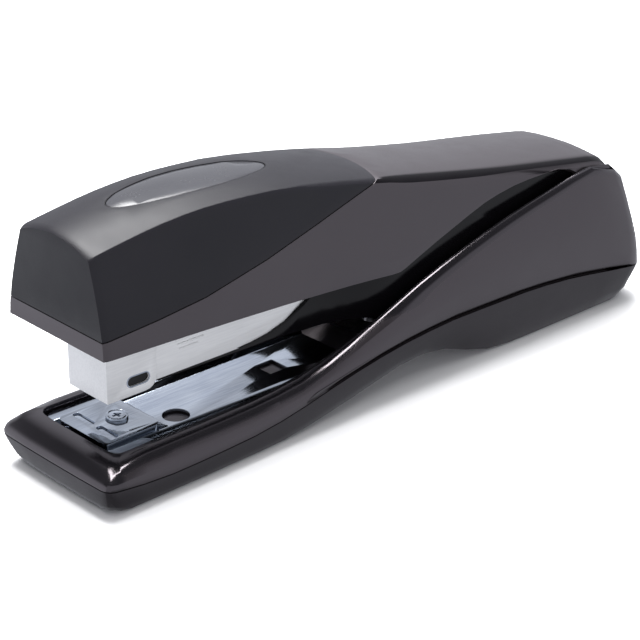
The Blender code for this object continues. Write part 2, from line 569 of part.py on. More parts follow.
def build_front_housing():
    """The bright housing round the magazine's front, open below for the staple, above for the driver."""
    corner = HOUSING_CORNER
    outline = [(HOUSING_X0, HOUSING_Z0)] + arc((HOUSING_X1 - corner, HOUSING_Z0 + corner), corner, -90, 0, 6)
    outline += [(HOUSING_X1, HOUSING_Z1), (HOUSING_X0, HOUSING_Z1)]
    housing = slab("front_housing", outline, "Y", -HOUSING_HALF, HOUSING_HALF)
    inner = HOUSING_HALF - HOUSING_WALL
    cut(housing, helper(box("housing_space", (HOUSING_X0 + HOUSING_WALL, 40), (-inner, inner),
                            (HOUSING_Z0 + HOUSING_WALL, 60))))
    cut(housing, helper(box("staple_exit", (HOUSING_X0 + HOUSING_WALL, 16), (-inner, inner), (20, 30))))
    slot = arc((SLOT_X[0], SLOT_Z), SLOT_R, 90, 270, 7) + arc((SLOT_X[1], SLOT_Z), SLOT_R, -90, 90, 7)
    cut(housing, helper(slab("side_slots", slot, "Y", -12, 12)))
    piece(housing, MAGAZINE, "satin_steel")


def build_carrier():
    """The plastic carrier: a narrow tray under the channel that widens into two flanks round the hinge."""
    def section(x, wall, floor):
        half = curve_value(CARRIER_HALF, x) - wall
        low = floor if floor else curve_value(CARRIER_LOW_Z, x)
        top = curve_value(CARRIER_TOP_Z, x) + (10 if wall else 0)
        if x > PIN_X and not wall:
            reach = sqrt(max(CARRIER_REAR_R**2 - (x - PIN_X) ** 2, 0))
            low, top = max(low, PIN_Z - reach), PIN_Z + reach
        return [(x, half, low), (x, half, top), (x, -half, top), (x, -half, low)]

    carrier = loft("magazine_carrier", [section(x, 0, 0) for x in CARRIER_STATIONS])
    hollow = loft("carrier_hollow", [section(x, CARRIER_WALL if x > 84 else TRAY_WALL, CARRIER_FLOOR)
                                     for x in HOLLOW_STATIONS])
    cut(carrier, helper(hollow))
    cut(carrier, helper(box("carrier_hinge_space", (149, 190), (-12.9, 12.9), (10, 60))))
    cut(carrier, pin_bore("carrier_bore"))
    for index, x in enumerate(CARRIER_RIVETS_X):
        cut(carrier, helper(rod(f"carrier_rivet_hole_{index}", (x, 0, 20), (x, 0, 26), 1.8, 16)))
        cut(carrier, helper(rod(f"carrier_rivet_sink_{index}", (x, 0, 20), (x, 0, 22.9), 3, 16)))
        rivet = rod(f"carrier_rivet_{index + 1}", (x, 0, 23), (x, 0, CHANNEL_Z0 + 0.5), 1.5, 12)
        piece(rivet, MAGAZINE, "satin_steel")
    piece(carrier, MAGAZINE, "gloss_black_plastic")


def helix(x_start, x_end, radius, turns, axis_z, per_turn=6):
    """Points of a coil that winds along X."""
    total = turns * per_turn
    return [(mix(x_start, x_end, k / total), radius * cos(2 * pi * k / per_turn),
             axis_z + radius * sin(2 * pi * k / per_turn)) for k in range(total + 1)]


def build_staple_feed():
    """Inside the channel: the rail under the staples, the pusher, its rod, its spring and the rear stop."""
    rail = box("staple_rail", (16.4, 149), (-RAIL_HALF, RAIL_HALF), (RAIL_Z0, RAIL_Z1))
    inner = RAIL_HALF - RAIL_WALL
    cut(rail, helper(box("rail_hollow", (10, 152), (-inner, inner), (20, RAIL_Z1 - RAIL_WALL))))
    cut(rail, helper(box("rail_lower_ends", (10, 16.9), (-7, 7), (20, 28))))
    piece(rail, MAGAZINE, "satin_steel")

    stop = box("spring_stop", (150, 156), (-PUSHER_HALF, PUSHER_HALF), (RAIL_Z0, 38.2))
    cut(stop, helper(rod("stop_bore", (140, 0, ROD_Z), (160, 0, ROD_Z), 1.25, 12)))
    piece(stop, MAGAZINE, "satin_steel")
    piece(rod("guide_rod", (22, 0, ROD_Z), (158.5, 0, ROD_Z), ROD_R, 12), MAGAZINE, "spring_steel")
    coil = wire("pusher_spring", helix(PUSHER_X + PUSHER_LENGTH + 0.9, 149.2, 2.1, 15, ROD_Z), 0.4)
    piece(coil, MAGAZINE, "spring_steel")

    rear = PUSHER_X + PUSHER_LENGTH
    outline = [(PUSHER_X, PUSHER_Z0), (rear, PUSHER_Z0), (rear, PUSHER_Z1), (PUSHER_X + 5, PUSHER_Z1)]
    outline.append((PUSHER_X, PUSHER_Z1 - 2.5))
    pusher = slab("pusher", outline, "Y", -PUSHER_HALF, PUSHER_HALF)
    cut(pusher, helper(rod("pusher_bore", (0, 0, ROD_Z), (60, 0, ROD_Z), ROD_R + 0.35, 12)))
    piece(pusher, PUSHER, "satin_steel")


def build_handle_spring():
    """The coil between the spring stop and the lever that returns the handle."""
    turns, per_turn, low, high, radius, middle = 4, 10, 39.0, 45.4, 3.6, 153.0
    total = turns * per_turn
    points = [(middle + radius * cos(2 * pi * k / per_turn), radius * sin(2 * pi * k / per_turn),
               mix(low, high, k / total)) for k in range(total + 1)]
    piece(wire("handle_spring", points, 0.5), MAGAZINE, "spring_steel")


# ---------------------------------------------------------------- handle
def handle_section(x, inset, reach):
    """A closed section of the handle at x, moved inwards by inset. It ends reach below the lower edge."""
    nose_round = NOSE_ROUND * max(0.0, NOSE_ROUND_LENGTH - (x - HANDLE_NOSE)) ** 2
    tail_round = TAIL_ROUND * max(0.0, x - (HANDLE_TAIL - TAIL_ROUND_LENGTH)) ** 2
    shrink = inset + nose_round + tail_round
    side_points, crown_points = (7, 4) if inset < SKIN_DEPTH else (4, 3)
    low = curve_value(HANDLE_LOW_Z, x)
    edge = curve_value(EDGE_Z, x) - shrink
    crown = edge + curve_value(CROWN_RISE, x)
    fillet = curve_value(FILLET_Z, x)
    low_half = curve_value(LOW_HALF, x) - shrink
    side_half = curve_value(SIDE_TOP_HALF, x) - shrink
    edge_half = curve_value(EDGE_HALF, x) - shrink
    side_top = edge - fillet
    half = [(low_half, low - reach)] if reach > 0 else []
    bottom = low - min(reach, 0)
    for share in steps(0, 1, side_points):
        half.append((mix(low_half, side_half, share**FLARE_POWER), mix(bottom, side_top, share)))
    for angle in steps(0, pi / 2, 4)[1:]:
        half.append((mix(side_half, edge_half, 1 - cos(angle)), side_top + fillet * sin(angle)))
    for share in steps(1, 0, crown_points)[1:]:
        half.append((edge_half * share, crown - (crown - edge) * share**2))
    full = half + [(-y, z) for y, z in half[-2::-1]]
    lean = NOSE_LEAN * max(0.0, 1 - (x - HANDLE_NOSE) / LEAN_LENGTH)
    return [(x + lean * (z - LEAN_FOOT_Z), y, z) for y, z in full]


def handle_solid(name, inset, start, end, reach=0.0):
    """A solid with the handle's outer form, smaller by inset, between two stations."""
    listed = SKIN_STATIONS if inset < SKIN_DEPTH else INNER_STATIONS
    stations = [start] + [x for x in listed if start + 0.5 < x < end - 0.5] + [end]
    return loft(name, [handle_section(x, inset, reach) for x in stations])


def ellipse(half_length, half_width, count=40):
    """The outline of the badge, seen from above."""
    return [(BADGE_X + half_length * cos(2 * pi * k / count), half_width * sin(2 * pi * k / count))
            for k in range(count)]


def build_handle_shells():
    """The handle's body, the matt cover that wraps its front, and the badge let into the cover."""
    over_seam = helper(slab("over_cover_seam", COVER_SEAM, "Y", -30, 30))
    lowered = [(x + GAP if x > SEAM_TIP_X else x, z - GAP if z < SEAM_TOP_Z else z) for x, z in COVER_SEAM]
    over_gap = helper(slab("over_cover_gap", lowered, "Y", -30, 30))
    lining = COVER_WALL + GAP
    core = helper(handle_solid("handle_core", lining, HANDLE_NOSE + lining, 122, -1))
    cover_hollow = helper(handle_solid("cover_hollow", COVER_WALL, HANDLE_NOSE + COVER_WALL, 134, 12))
    wall = lining + BODY_WALL
    front_hollow = helper(handle_solid("front_hollow", wall, HANDLE_NOSE + wall, 112, 14))
    rear_hollow = helper(handle_solid("rear_hollow", REAR_WALL, 102, HANDLE_TAIL - REAR_WALL, 14))
    skirt_hollow = helper(handle_solid("skirt_hollow", REAR_WALL, 64, 112, 14))
    boolean(skirt_hollow, helper(box("below_cover", (40, 130), (-25, 25), (10, 51))), "INTERSECT")

    body = handle_solid("handle_body", 0, HANDLE_NOSE, HANDLE_TAIL)
    cut(body, over_gap)
    join(body, core)
    cut(body, front_hollow, rear_hollow, skirt_hollow)
    for index, x in enumerate(LEVER_SCREWS_X):
        skin = lining + BODY_WALL / 2 if x < SEAM_TIP_X else REAR_WALL / 2
        roof = curve_value(EDGE_Z, x) + curve_value(CROWN_RISE, x) - skin
        join(body, helper(rod(f"handle_post_{index}", (x, 0, lever_top(x) + GAP), (x, 0, roof), 3.4, 16)))
    for index, x in enumerate(LEVER_SCREWS_X):
        cut(body, helper(rod(f"handle_post_bore_{index}", (x, 0, 30), (x, 0, lever_top(x) + 7), 1.5, 12)))
    piece(body, HANDLE, "satin_black_plastic")

    recess = slab("badge_recess", ellipse(BADGE_HALF_LENGTH, BADGE_HALF_WIDTH), "Z", 60, 80)
    cut(recess, helper(handle_solid("badge_seat", BADGE_SEAT, HANDLE_NOSE + BADGE_SEAT, 130)))
    cover = handle_solid("front_cover", 0, HANDLE_NOSE, 130)
    boolean(cover, over_seam, "INTERSECT")
    cut(cover, cover_hollow, helper(recess))
    piece(cover, HANDLE, "matte_black_plastic")

    badge = slab("badge_insert", ellipse(BADGE_HALF_LENGTH - GAP, BADGE_HALF_WIDTH - GAP), "Z", 60, 80)
    face = helper(handle_solid("badge_face", BADGE_FACE, HANDLE_NOSE + BADGE_FACE, 130))
    boolean(badge, face, "INTERSECT")
    cut(badge, helper(handle_solid("badge_back", BADGE_BACK, HANDLE_NOSE + BADGE_BACK, 130)))
    piece(badge, HANDLE, "badge_grey_plastic")


def lever_top(x):
    """The height of the lever's upper face at x."""
    return mix(LEVER_FRONT_Z, LEVER_REAR_Z, (x - LEVER_FRONT_X) / (PIN_X - LEVER_FRONT_X))


def build_lever():
    """The steel lever inside the handle, the driver blade at its front, their rivets and the screws."""
    plate, half = LEVER_SHEET, LEVER_HALF
    upper = [(LEVER_FRONT_X, lever_top(LEVER_FRONT_X)), (PIN_X, lever_top(PIN_X)), (170.5, 45.6), (172, 42)]
    ear = arc((PIN_X, PIN_Z), LEVER_EAR_R, 20, -150, 10) + [(157.5, 40), (150, lever_top(150) - LEVER_FLANGE)]
    lower = [(LEVER_FRONT_X, lever_top(LEVER_FRONT_X) - LEVER_FLANGE)]
    lever = slab("drive_lever", upper + ear + lower, "Y", -half, half)
    inside = [(5, lever_top(5) - plate), (PIN_X, lever_top(PIN_X) - plate), (190, 42), (190, 10), (5, 10)]
    cut(lever, helper(slab("lever_inside", inside, "Y", LEVER_WALL - half, half - LEVER_WALL)))
    cut(lever, pin_bore("lever_bore"))
    for index, x in enumerate(LEVER_SCREWS_X):
        under = lever_top(x) - plate
        cut(lever, helper(rod(f"lever_hole_{index}", (x, 0, under - 3), (x, 0, under + 3), 1.6, 12)))
        screw = cross_head_screw(f"lever_screw_{index + 1}", x, 0, under - 1.6, under + 6, 2.8, 1.2)
        piece(screw, HANDLE, "spring_steel")

    tab = lever_top(18) - plate - GAP - 0.4
    outline = [(DRIVER_X0, DRIVER_FOOT_Z), (DRIVER_X1, DRIVER_FOOT_Z), (DRIVER_X1, tab - DRIVER_SHEET)]
    outline += [(22, tab - DRIVER_SHEET), (22, tab), (DRIVER_X0, tab)]
    blade = slab("driver_blade", outline, "Y", -DRIVER_HALF, DRIVER_HALF)
    for index, y in enumerate(DRIVER_RIVETS_Y):
        x = DRIVER_RIVET_X
        hole = helper(rod(f"driver_rivet_hole_{index}", (x, y, 40), (x, y, 60), 1.4, 12))
        cut(lever, hole)
        cut(blade, hole)
        rivet = rod(f"driver_rivet_{index + 1}", (x, y, 54.1), (x, y, 55), 2.2, 16, 1.7)
        join(rivet, helper(rod(f"driver_rivet_shank_{index}", (x, y, 51.2), (x, y, 54.5), 1.1, 12)))
        piece(rivet, HANDLE, "spring_steel")
    piece(lever, HANDLE, "satin_steel")
    piece(blade, HANDLE, "spring_steel")


clear_scene()
PIECES = new_collection("stapler")
CUTTERS = new_collection("cutters")
CUTTERS.hide_render = True
FINISHES = make_materials()
BASE = new_pivot("base_frame", Vector((0, 0, 0)))
MAGAZINE = new_pivot("magazine_pivot", place(PIN_X, 0, PIN_Z), BASE)
HANDLE = new_pivot("handle_pivot", place(PIN_X, 0, PIN_Z), MAGAZINE)
PUSHER = new_pivot("pusher_slide", place(PUSHER_X, 0, ROD_Z), MAGAZINE)

build_upper_shell()
build_lower_shell()
build_feet_and_base_screws()
build_base_plate()
build_hinge()
build_lift_spring()
build_magazine_channel()
build_front_housing()
build_carrier()
build_staple_feed()
build_handle_spring()
build_handle_shells()
build_lever()
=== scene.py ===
"""Finishes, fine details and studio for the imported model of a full-strip desktop stapler.

Lengths are in metres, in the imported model's own frame: X runs from the nose to the tail, Y across, and Z up
from the table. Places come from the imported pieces, and each detail's own sizes are its class's fields.
"""

import logging
from collections.abc import Callable, Iterable
from dataclasses import dataclass
from enum import Enum
from math import cos, pi, radians, sin

import bmesh
import bpy
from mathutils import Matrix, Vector


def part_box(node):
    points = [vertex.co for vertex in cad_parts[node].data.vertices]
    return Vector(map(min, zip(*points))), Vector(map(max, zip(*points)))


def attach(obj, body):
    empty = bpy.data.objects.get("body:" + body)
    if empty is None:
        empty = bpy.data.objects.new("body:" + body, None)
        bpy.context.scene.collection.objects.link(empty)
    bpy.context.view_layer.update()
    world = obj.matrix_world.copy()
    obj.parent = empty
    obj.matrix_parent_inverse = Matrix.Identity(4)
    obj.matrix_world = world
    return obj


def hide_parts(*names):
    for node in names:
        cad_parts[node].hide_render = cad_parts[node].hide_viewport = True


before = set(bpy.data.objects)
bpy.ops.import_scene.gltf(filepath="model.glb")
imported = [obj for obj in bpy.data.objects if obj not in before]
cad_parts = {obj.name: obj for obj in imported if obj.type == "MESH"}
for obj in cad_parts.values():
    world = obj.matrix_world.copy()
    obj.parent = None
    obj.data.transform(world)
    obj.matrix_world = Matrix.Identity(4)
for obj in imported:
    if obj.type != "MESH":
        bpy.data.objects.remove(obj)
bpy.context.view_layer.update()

MM = 0.001
DOUBLE = 0.002 * MM
SHARP = 28.0
CREASE = 32.0
TIGHT_CREASE = 40.0
LOG = logging.getLogger("stapler")

Colour = tuple[float, float, float]
Span = tuple[float, float]
MIDDLE: Span = (0.35, 0.65)


class Slot(Enum):
    """The record's material slots."""

    SATIN = "satin_black_plastic"
    GLOSS = "gloss_black_plastic"
    MATTE = "matte_black_plastic"
    BADGE = "badge_grey_plastic"
    CHROME = "chrome_steel"
    STEEL = "satin_steel"
    SPRING = "spring_steel"
    RUBBER = "black_rubber"


class Body(Enum):
    """The model's moving bodies."""

    BASE = "base"
    MAGAZINE = "magazine"
    PUSHER = "pusher"
    HANDLE = "handle"


# ---------------------------------------------------------------- node boards
class Board:
    """A material's node tree with one Principled shader, patterned on the piece's own Object coordinates."""

    def __init__(self, name: str) -> None:
        """Starts a material.

        Args:
            name: the material's name.
        """
        self.material = bpy.data.materials.new(name)
        self.material.use_nodes = True
        self.tree = self.material.node_tree
        self.shader = self.tree.nodes["Principled BSDF"]
        self.place = self.add("ShaderNodeTexCoord").outputs["Object"]

    def add(self, kind: str) -> bpy.types.Node:
        """Adds a node of a kind."""
        return self.tree.nodes.new(kind)

    def wire(self, value: bpy.types.NodeSocket, target: bpy.types.NodeSocket) -> None:
        """Joins an output to an input."""
        self.tree.links.new(value, target)

    def fix(self, **values: float) -> None:
        """Sets the shader's constant sockets, each named with _ for its spaces."""
        for name, value in values.items():
            self.shader.inputs[name.replace("_", " ")].default_value = value

    def stretched(self, scale: tuple[float, float, float]) -> bpy.types.NodeSocket:
        """The piece's coordinates, scaled along each axis.

        Args:
            scale: the factor along X, Y and Z.

        Returns:
            The scaled coordinates.
        """
        node = self.add("ShaderNodeMapping")
        node.inputs["Scale"].default_value = scale
        self.wire(self.place, node.inputs["Vector"])
        return node.outputs["Vector"]

    def noise(self, size: float, detail: float = 2.0, vector: bpy.types.NodeSocket | None = None,
              distortion: float = 0.0) -> bpy.types.NodeSocket:
        """Soft random values.

        Args:
            size: the size of one blotch, in metres.
            detail: how many finer layers it holds.
            vector: the coordinates, the piece's own if not given.
            distortion: how far the pattern is stirred.

        Returns:
            The values, from 0 to 1.
        """
        node = self.add("ShaderNodeTexNoise")
        node.inputs["Scale"].default_value = 1 / size
        node.inputs["Detail"].default_value = detail
        node.inputs["Distortion"].default_value = distortion
        self.wire(vector or self.place, node.inputs["Vector"])
        return node.outputs["Fac"]

    def spread(self, value: bpy.types.NodeSocket, source: Span, target: Span,
               soft: bool = False) -> bpy.types.NodeSocket:
        """Maps values from one range to another.

        Args:
            value: the values.
            source: the range that they come in.
            target: the range that they leave in.
            soft: whether the ends are eased.

        Returns:
            The mapped values.
        """
        node = self.add("ShaderNodeMapRange")
        node.interpolation_type = "SMOOTHSTEP" if soft else "LINEAR"
        for name, number in zip(("From Min", "From Max", "To Min", "To Max"), (*source, *target)):
            node.inputs[name].default_value = number
        self.wire(value, node.inputs["Value"])
        return node.outputs["Result"]

    def work(self, a: bpy.types.NodeSocket, b: bpy.types.NodeSocket | float,
             operation: str = "ADD") -> bpy.types.NodeSocket:
        """Works on two values.

        Args:
            a: the first value.
            b: the second value, or a number.
            operation: the name of the Math node's operation.

        Returns:
            The outcome.
        """
        node = self.add("ShaderNodeMath")
        node.operation = operation
        self.wire(a, node.inputs[0])
        if isinstance(b, (int, float)):
            node.inputs[1].default_value = b
        else:
            self.wire(b, node.inputs[1])
        return node.outputs[0]

    def blend(self, share: bpy.types.NodeSocket, a: Colour | bpy.types.NodeSocket,
              b: Colour | bpy.types.NodeSocket) -> bpy.types.NodeSocket:
        """Mixes two colours.

        Args:
            share: how much of the second colour shows, from 0 to 1.
            a: the first colour.
            b: the second colour.

        Returns:
            The mixed colour.
        """
        node = self.add("ShaderNodeMix")
        node.data_type = "RGBA"
        self.wire(share, node.inputs["Factor"])
        for name, colour in (("A", a), ("B", b)):
            socket = next(s for s in node.inputs if s.name == name and s.type == "RGBA")
            if isinstance(colour, tuple):
                socket.default_value = (*colour, 1.0)
            else:
                self.wire(colour, socket)
        return next(s for s in node.outputs if s.type == "RGBA")

    def relief(self, height: bpy.types.NodeSocket, depth: float,
               under: bpy.types.NodeSocket | None = None) -> bpy.types.NodeSocket:
        """Bumps the surface.

        Args:
            height: the relief, from 0 to 1.
            depth: the height of 1, in metres.
            under: the normal of a relief that this one lies on.

        Returns:
            The bumped normal.
        """
        node = self.add("ShaderNodeBump")
        node.inputs["Distance"].default_value = depth
        self.wire(height, node.inputs["Height"])
        if under:
            self.wire(under, node.inputs["Normal"])
        return node.outputs["Normal"]

    def finish(self, colour: bpy.types.NodeSocket, roughness: bpy.types.NodeSocket,
               normal: bpy.types.NodeSocket) -> bpy.types.Material:
        """Joins the patterns to the shader.

        Args:
            colour: the base colour.
            roughness: the roughness.
            normal: the bumped normal.

        Returns:
            The material.
        """
        self.wire(colour, self.shader.inputs["Base Color"])
        self.wire(roughness, self.shader.inputs["Roughness"])
        self.wire(normal, self.shader.inputs["Normal"])
        return self.material


# ---------------------------------------------------------------- finishes
@dataclass(frozen=True)
class MouldedPlastic:
    """Moulded plastic: an eroded grain, faint flow marks, and a polish that varies."""

    name: str
    slot: Slot
    colour: Colour
    flow_colour: Colour
    roughness: Span
    specular: float
    grain: float
    grain_depth: float
    sheen_tint: Colour = (1.0, 1.0, 1.0)

    def patterns(self, board: Board) -> tuple[bpy.types.NodeSocket, ...]:
        """The colour, roughness and normal of the plain moulding.

        Args:
            board: the material's nodes.

        Returns:
            The three sockets.
        """
        board.fix(Specular_IOR_Level=self.specular)
        board.shader.inputs["Specular Tint"].default_value = (*self.sheen_tint, 1.0)
        flow = board.noise(28 * MM, 3, board.stretched((0.5, 1, 1)))
        cloud = board.noise(7 * MM, 4)
        grain = board.noise(self.grain, 3)
        colour = board.blend(board.spread(flow, MIDDLE, (0, 1)), self.colour, self.flow_colour)
        mottle = board.work(board.work(cloud, grain), 0.5, "MULTIPLY")
        roughness = board.spread(mottle, MIDDLE, self.roughness)
        ripple = board.relief(flow, 0.03 * MM)
        return colour, roughness, board.relief(grain, self.grain_depth, ripple)

    def make(self) -> bpy.types.Material:
        """Builds the material."""
        board = Board(self.name)
        return board.finish(*self.patterns(board))


@dataclass(frozen=True)
class RimmedPlastic(MouldedPlastic):
    """Satin plastic whose ridge and nose are polished to a gloss, as on the base's upper shell. The rim's darker
    colour is partly the glossy black moulding and partly painted shade standing in for the dark reflection below
    the ridge.
    """

    # the rim's darker colour: the glossy black moulding's own tone, partly painted shade for the dark reflection
    # below the ridge
    rim_and_shade_colour: Colour = (0.007, 0.0065, 0.008)
    rim_roughness: Span = (0.10, 0.16)
    band: Span = (1.6 * MM, 2.6 * MM)
    nose: Span = (4.5 * MM, 7.0 * MM)
    node: str = "base_upper_shell"
    bins: int = 26

    def ridge(self) -> list[tuple[float, float]]:
        """The shell's top line, as points with X and Z shared out from 0 to 1 over the shell's own box."""
        low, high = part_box(self.node)
        tops = [0.0] * self.bins
        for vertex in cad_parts[self.node].data.vertices:
            share = (vertex.co.x - low.x) / (high.x - low.x)
            k = min(self.bins - 1, int(share * self.bins))
            tops[k] = max(tops[k], vertex.co.z / high.z)
        return [((k + 0.5) / self.bins, top) for k, top in enumerate(tops) if top]

    def make(self) -> bpy.types.Material:
        """Builds the material, with the polish and the darker rim colour laid along the ridge and over the nose.
        The darker colour there is partly painted shade.
        """
        board = Board(self.name)
        colour, roughness, normal = self.patterns(board)
        low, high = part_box(self.node)
        parts = board.add("ShaderNodeSeparateXYZ")
        board.wire(board.place, parts.inputs[0])
        along = board.spread(parts.outputs["X"], (low.x, high.x), (0, 1))
        line = board.add("ShaderNodeFloatCurve")
        curve = line.mapping.curves[0]
        points = self.ridge()
        curve.points[0].location = (0, points[0][1])
        curve.points[1].location = (1, points[-1][1])
        for x, z in points:
            curve.points.new(x, z)
        line.mapping.update()
        board.wire(along, line.inputs["Value"])
        height = board.work(line.outputs["Value"], high.z, "MULTIPLY")
        below = board.work(height, parts.outputs["Z"], "SUBTRACT")
        on_ridge = board.spread(below, self.band, (1, 0), soft=True)
        edges = tuple(low.x + reach for reach in self.nose)
        on_nose = board.spread(parts.outputs["X"], edges, (1, 0), soft=True)
        # the polish mask also lays the darker rim colour, which is partly painted shade for the dark reflection
        # below the ridge
        polish = board.work(on_ridge, on_nose, "MAXIMUM")
        smooth = board.spread(board.noise(9 * MM, 3), MIDDLE, self.rim_roughness)
        mixed = board.add("ShaderNodeMix")
        board.wire(polish, mixed.inputs[0])
        board.wire(roughness, mixed.inputs[2])
        board.wire(smooth, mixed.inputs[3])
        return board.finish(board.blend(polish, colour, self.rim_and_shade_colour), mixed.outputs[0], normal)


@dataclass(frozen=True)
class ShadeBandedPlastic(MouldedPlastic):
    """Satin plastic with a painted shade band where a long edge turns over between a side and the top. A darker
    colour and a lower specular level there stand in for the dark reflection on that turn.
    """

    # painted shade: the band's colour, darker than the satin moulding, stands in for a dark reflection
    painted_shade_colour: Colour = (0.004, 0.0035, 0.0045)
    band_specular: float = 0.12
    turn_in: Span = (0.18, 0.32)
    turn_out: Span = (0.78, 0.92)

    def make(self) -> bpy.types.Material:
        """Builds the material, with the painted shade band laid where the surface faces half sideways."""
        board = Board(self.name)
        colour, roughness, normal = self.patterns(board)
        parts = board.add("ShaderNodeSeparateXYZ")
        board.wire(board.add("ShaderNodeTexCoord").outputs["Normal"], parts.inputs[0])
        sideways = board.work(parts.outputs["Y"], 0.0, "ABSOLUTE")
        begun = board.spread(sideways, self.turn_in, (0, 1), soft=True)
        left = board.spread(sideways, self.turn_out, (1, 0), soft=True)
        up = board.spread(parts.outputs["Z"], (0.2, 0.35), (0, 1), soft=True)
        # the band is the painted shade mask: where the normal faces half sideways and still upwards
        band = board.work(board.work(begun, left, "MULTIPLY"), up, "MULTIPLY")
        level = board.spread(band, (0, 1), (self.specular, self.band_specular))
        board.wire(level, board.shader.inputs["Specular IOR Level"])
        return board.finish(board.blend(band, colour, self.painted_shade_colour), roughness, normal)


@dataclass(frozen=True)
class PlatedSteel:
    """Plated sheet steel: rolling lines, a slow waviness, fine pits and a bright polish."""

    name: str
    slot: Slot
    colour: Colour
    tint: Colour
    roughness: Span
    wave: float
    wave_depth: float
    speckle: float
    speckle_depth: float
    metallic: float = 1.0

    def make(self) -> bpy.types.Material:
        """Builds the material."""
        board = Board(self.name)
        board.fix(Metallic=self.metallic)
        wave = board.noise(self.wave, 1, board.stretched((0.6, 1, 1)), 0.4)
        rolled = board.noise(0.5 * MM, 3, board.stretched((0.06, 1, 1)))
        speckle = board.noise(self.speckle, 2)
        tone = board.work(board.work(wave, rolled), 0.5, "MULTIPLY")
        colour = board.blend(board.spread(tone, (0.38, 0.62), (0, 1)), self.colour, self.tint)
        patch = board.work(board.work(speckle, rolled), 0.5, "MULTIPLY")
        roughness = board.spread(patch, (0.36, 0.64), self.roughness)
        bend = board.relief(wave, self.wave_depth)
        lines = board.relief(rolled, 0.004 * MM, bend)
        return board.finish(colour, roughness, board.relief(speckle, self.speckle_depth, lines))


@dataclass(frozen=True)
class RibbedRubber:
    """Moulded rubber with a shallow tread across it and a dusty grain."""

    name: str
    slot: Slot
    colour: Colour
    dust: Colour
    pitch: float = 2.4 * MM
    tread_depth: float = 0.25 * MM

    def make(self) -> bpy.types.Material:
        """Builds the material."""
        board = Board(self.name)
        board.fix(Specular_IOR_Level=0.3)
        grain = board.noise(0.35 * MM, 3)
        cloud = board.noise(6 * MM, 3)
        tread = board.add("ShaderNodeTexWave")
        tread.wave_profile = "SIN"
        tread.inputs["Scale"].default_value = 2 * pi / 20 / self.pitch
        board.wire(board.place, tread.inputs["Vector"])
        colour = board.blend(board.spread(cloud, (0.4, 0.7), (0, 1)), self.colour, self.dust)
        roughness = board.spread(grain, (0.3, 0.7), (0.78, 0.95))
        ribs = board.relief(tread.outputs["Fac"], self.tread_depth)
        return board.finish(colour, roughness, board.relief(grain, 0.02 * MM, ribs))


SATIN_LOOK = (Slot.SATIN, (0.018, 0.015, 0.017), (0.022, 0.019, 0.021), (0.28, 0.36), 0.95,
              0.30 * MM, 0.006 * MM, (1.0, 0.90, 0.97))
FINISHES = {
    Slot.SATIN: MouldedPlastic("satin_moulding", *SATIN_LOOK),
    Slot.GLOSS: MouldedPlastic(
        "gloss_moulding", Slot.GLOSS, (0.004, 0.0035, 0.0045), (0.006, 0.0055, 0.0065),
        (0.12, 0.20), 0.25, 0.50 * MM, 0.002 * MM),
    Slot.MATTE: MouldedPlastic(
        "matte_moulding", Slot.MATTE, (0.010, 0.0095, 0.013), (0.013, 0.012, 0.016),
        (0.38, 0.48), 0.30, 0.28 * MM, 0.010 * MM),
    Slot.BADGE: MouldedPlastic(
        "badge_moulding", Slot.BADGE, (0.040, 0.040, 0.046), (0.046, 0.046, 0.053),
        (0.20, 0.28), 0.4, 0.60 * MM, 0.002 * MM),
    Slot.CHROME: PlatedSteel(
        "bright_plating", Slot.CHROME, (0.50, 0.54, 0.60), (0.38, 0.42, 0.49),
        (0.06, 0.11), 11 * MM, 0.03 * MM, 0.35 * MM, 0.002 * MM),
    Slot.STEEL: PlatedSteel(
        "satin_plating", Slot.STEEL, (0.95, 0.95, 0.95), (0.86, 0.86, 0.865),
        (0.36, 0.48), 16 * MM, 0.03 * MM, 0.45 * MM, 0.012 * MM, 0.15),
    Slot.SPRING: PlatedSteel(
        "spring_wire", Slot.SPRING, (0.44, 0.44, 0.45), (0.34, 0.34, 0.36),
        (0.26, 0.40), 8 * MM, 0.02 * MM, 0.25 * MM, 0.004 * MM),
    Slot.RUBBER: RibbedRubber("foot_rubber", Slot.RUBBER, (0.018, 0.018, 0.019), (0.040, 0.039, 0.038)),
}
# the base's upper skin: a polished rim whose darker colour is partly painted shade
BASE_SKIN = RimmedPlastic("base_skin", *SATIN_LOOK)
# the handle's skin, with a painted shade band along the turn between its sides and top
HANDLE_SKIN = ShadeBandedPlastic("handle_skin", *SATIN_LOOK)
LOWER_SKIN = MouldedPlastic(
    "lower_skin", Slot.SATIN, (0.013, 0.011, 0.013), (0.016, 0.014, 0.016),
    (0.32, 0.42), 0.45, 0.30 * MM, 0.008 * MM, (1.0, 0.92, 0.98))
Finish = MouldedPlastic | PlatedSteel | RibbedRubber


class Palette:
    """Makes each finish's material once and gives it out."""

    def __init__(self) -> None:
        """Starts with no material made."""
        self.made: dict[str, bpy.types.Material] = {}

    def __call__(self, finish: Finish) -> bpy.types.Material:
        """The material of a finish."""
        if finish.name not in self.made:
            self.made[finish.name] = finish.make()
        return self.made[finish.name]


PALETTE = Palette()


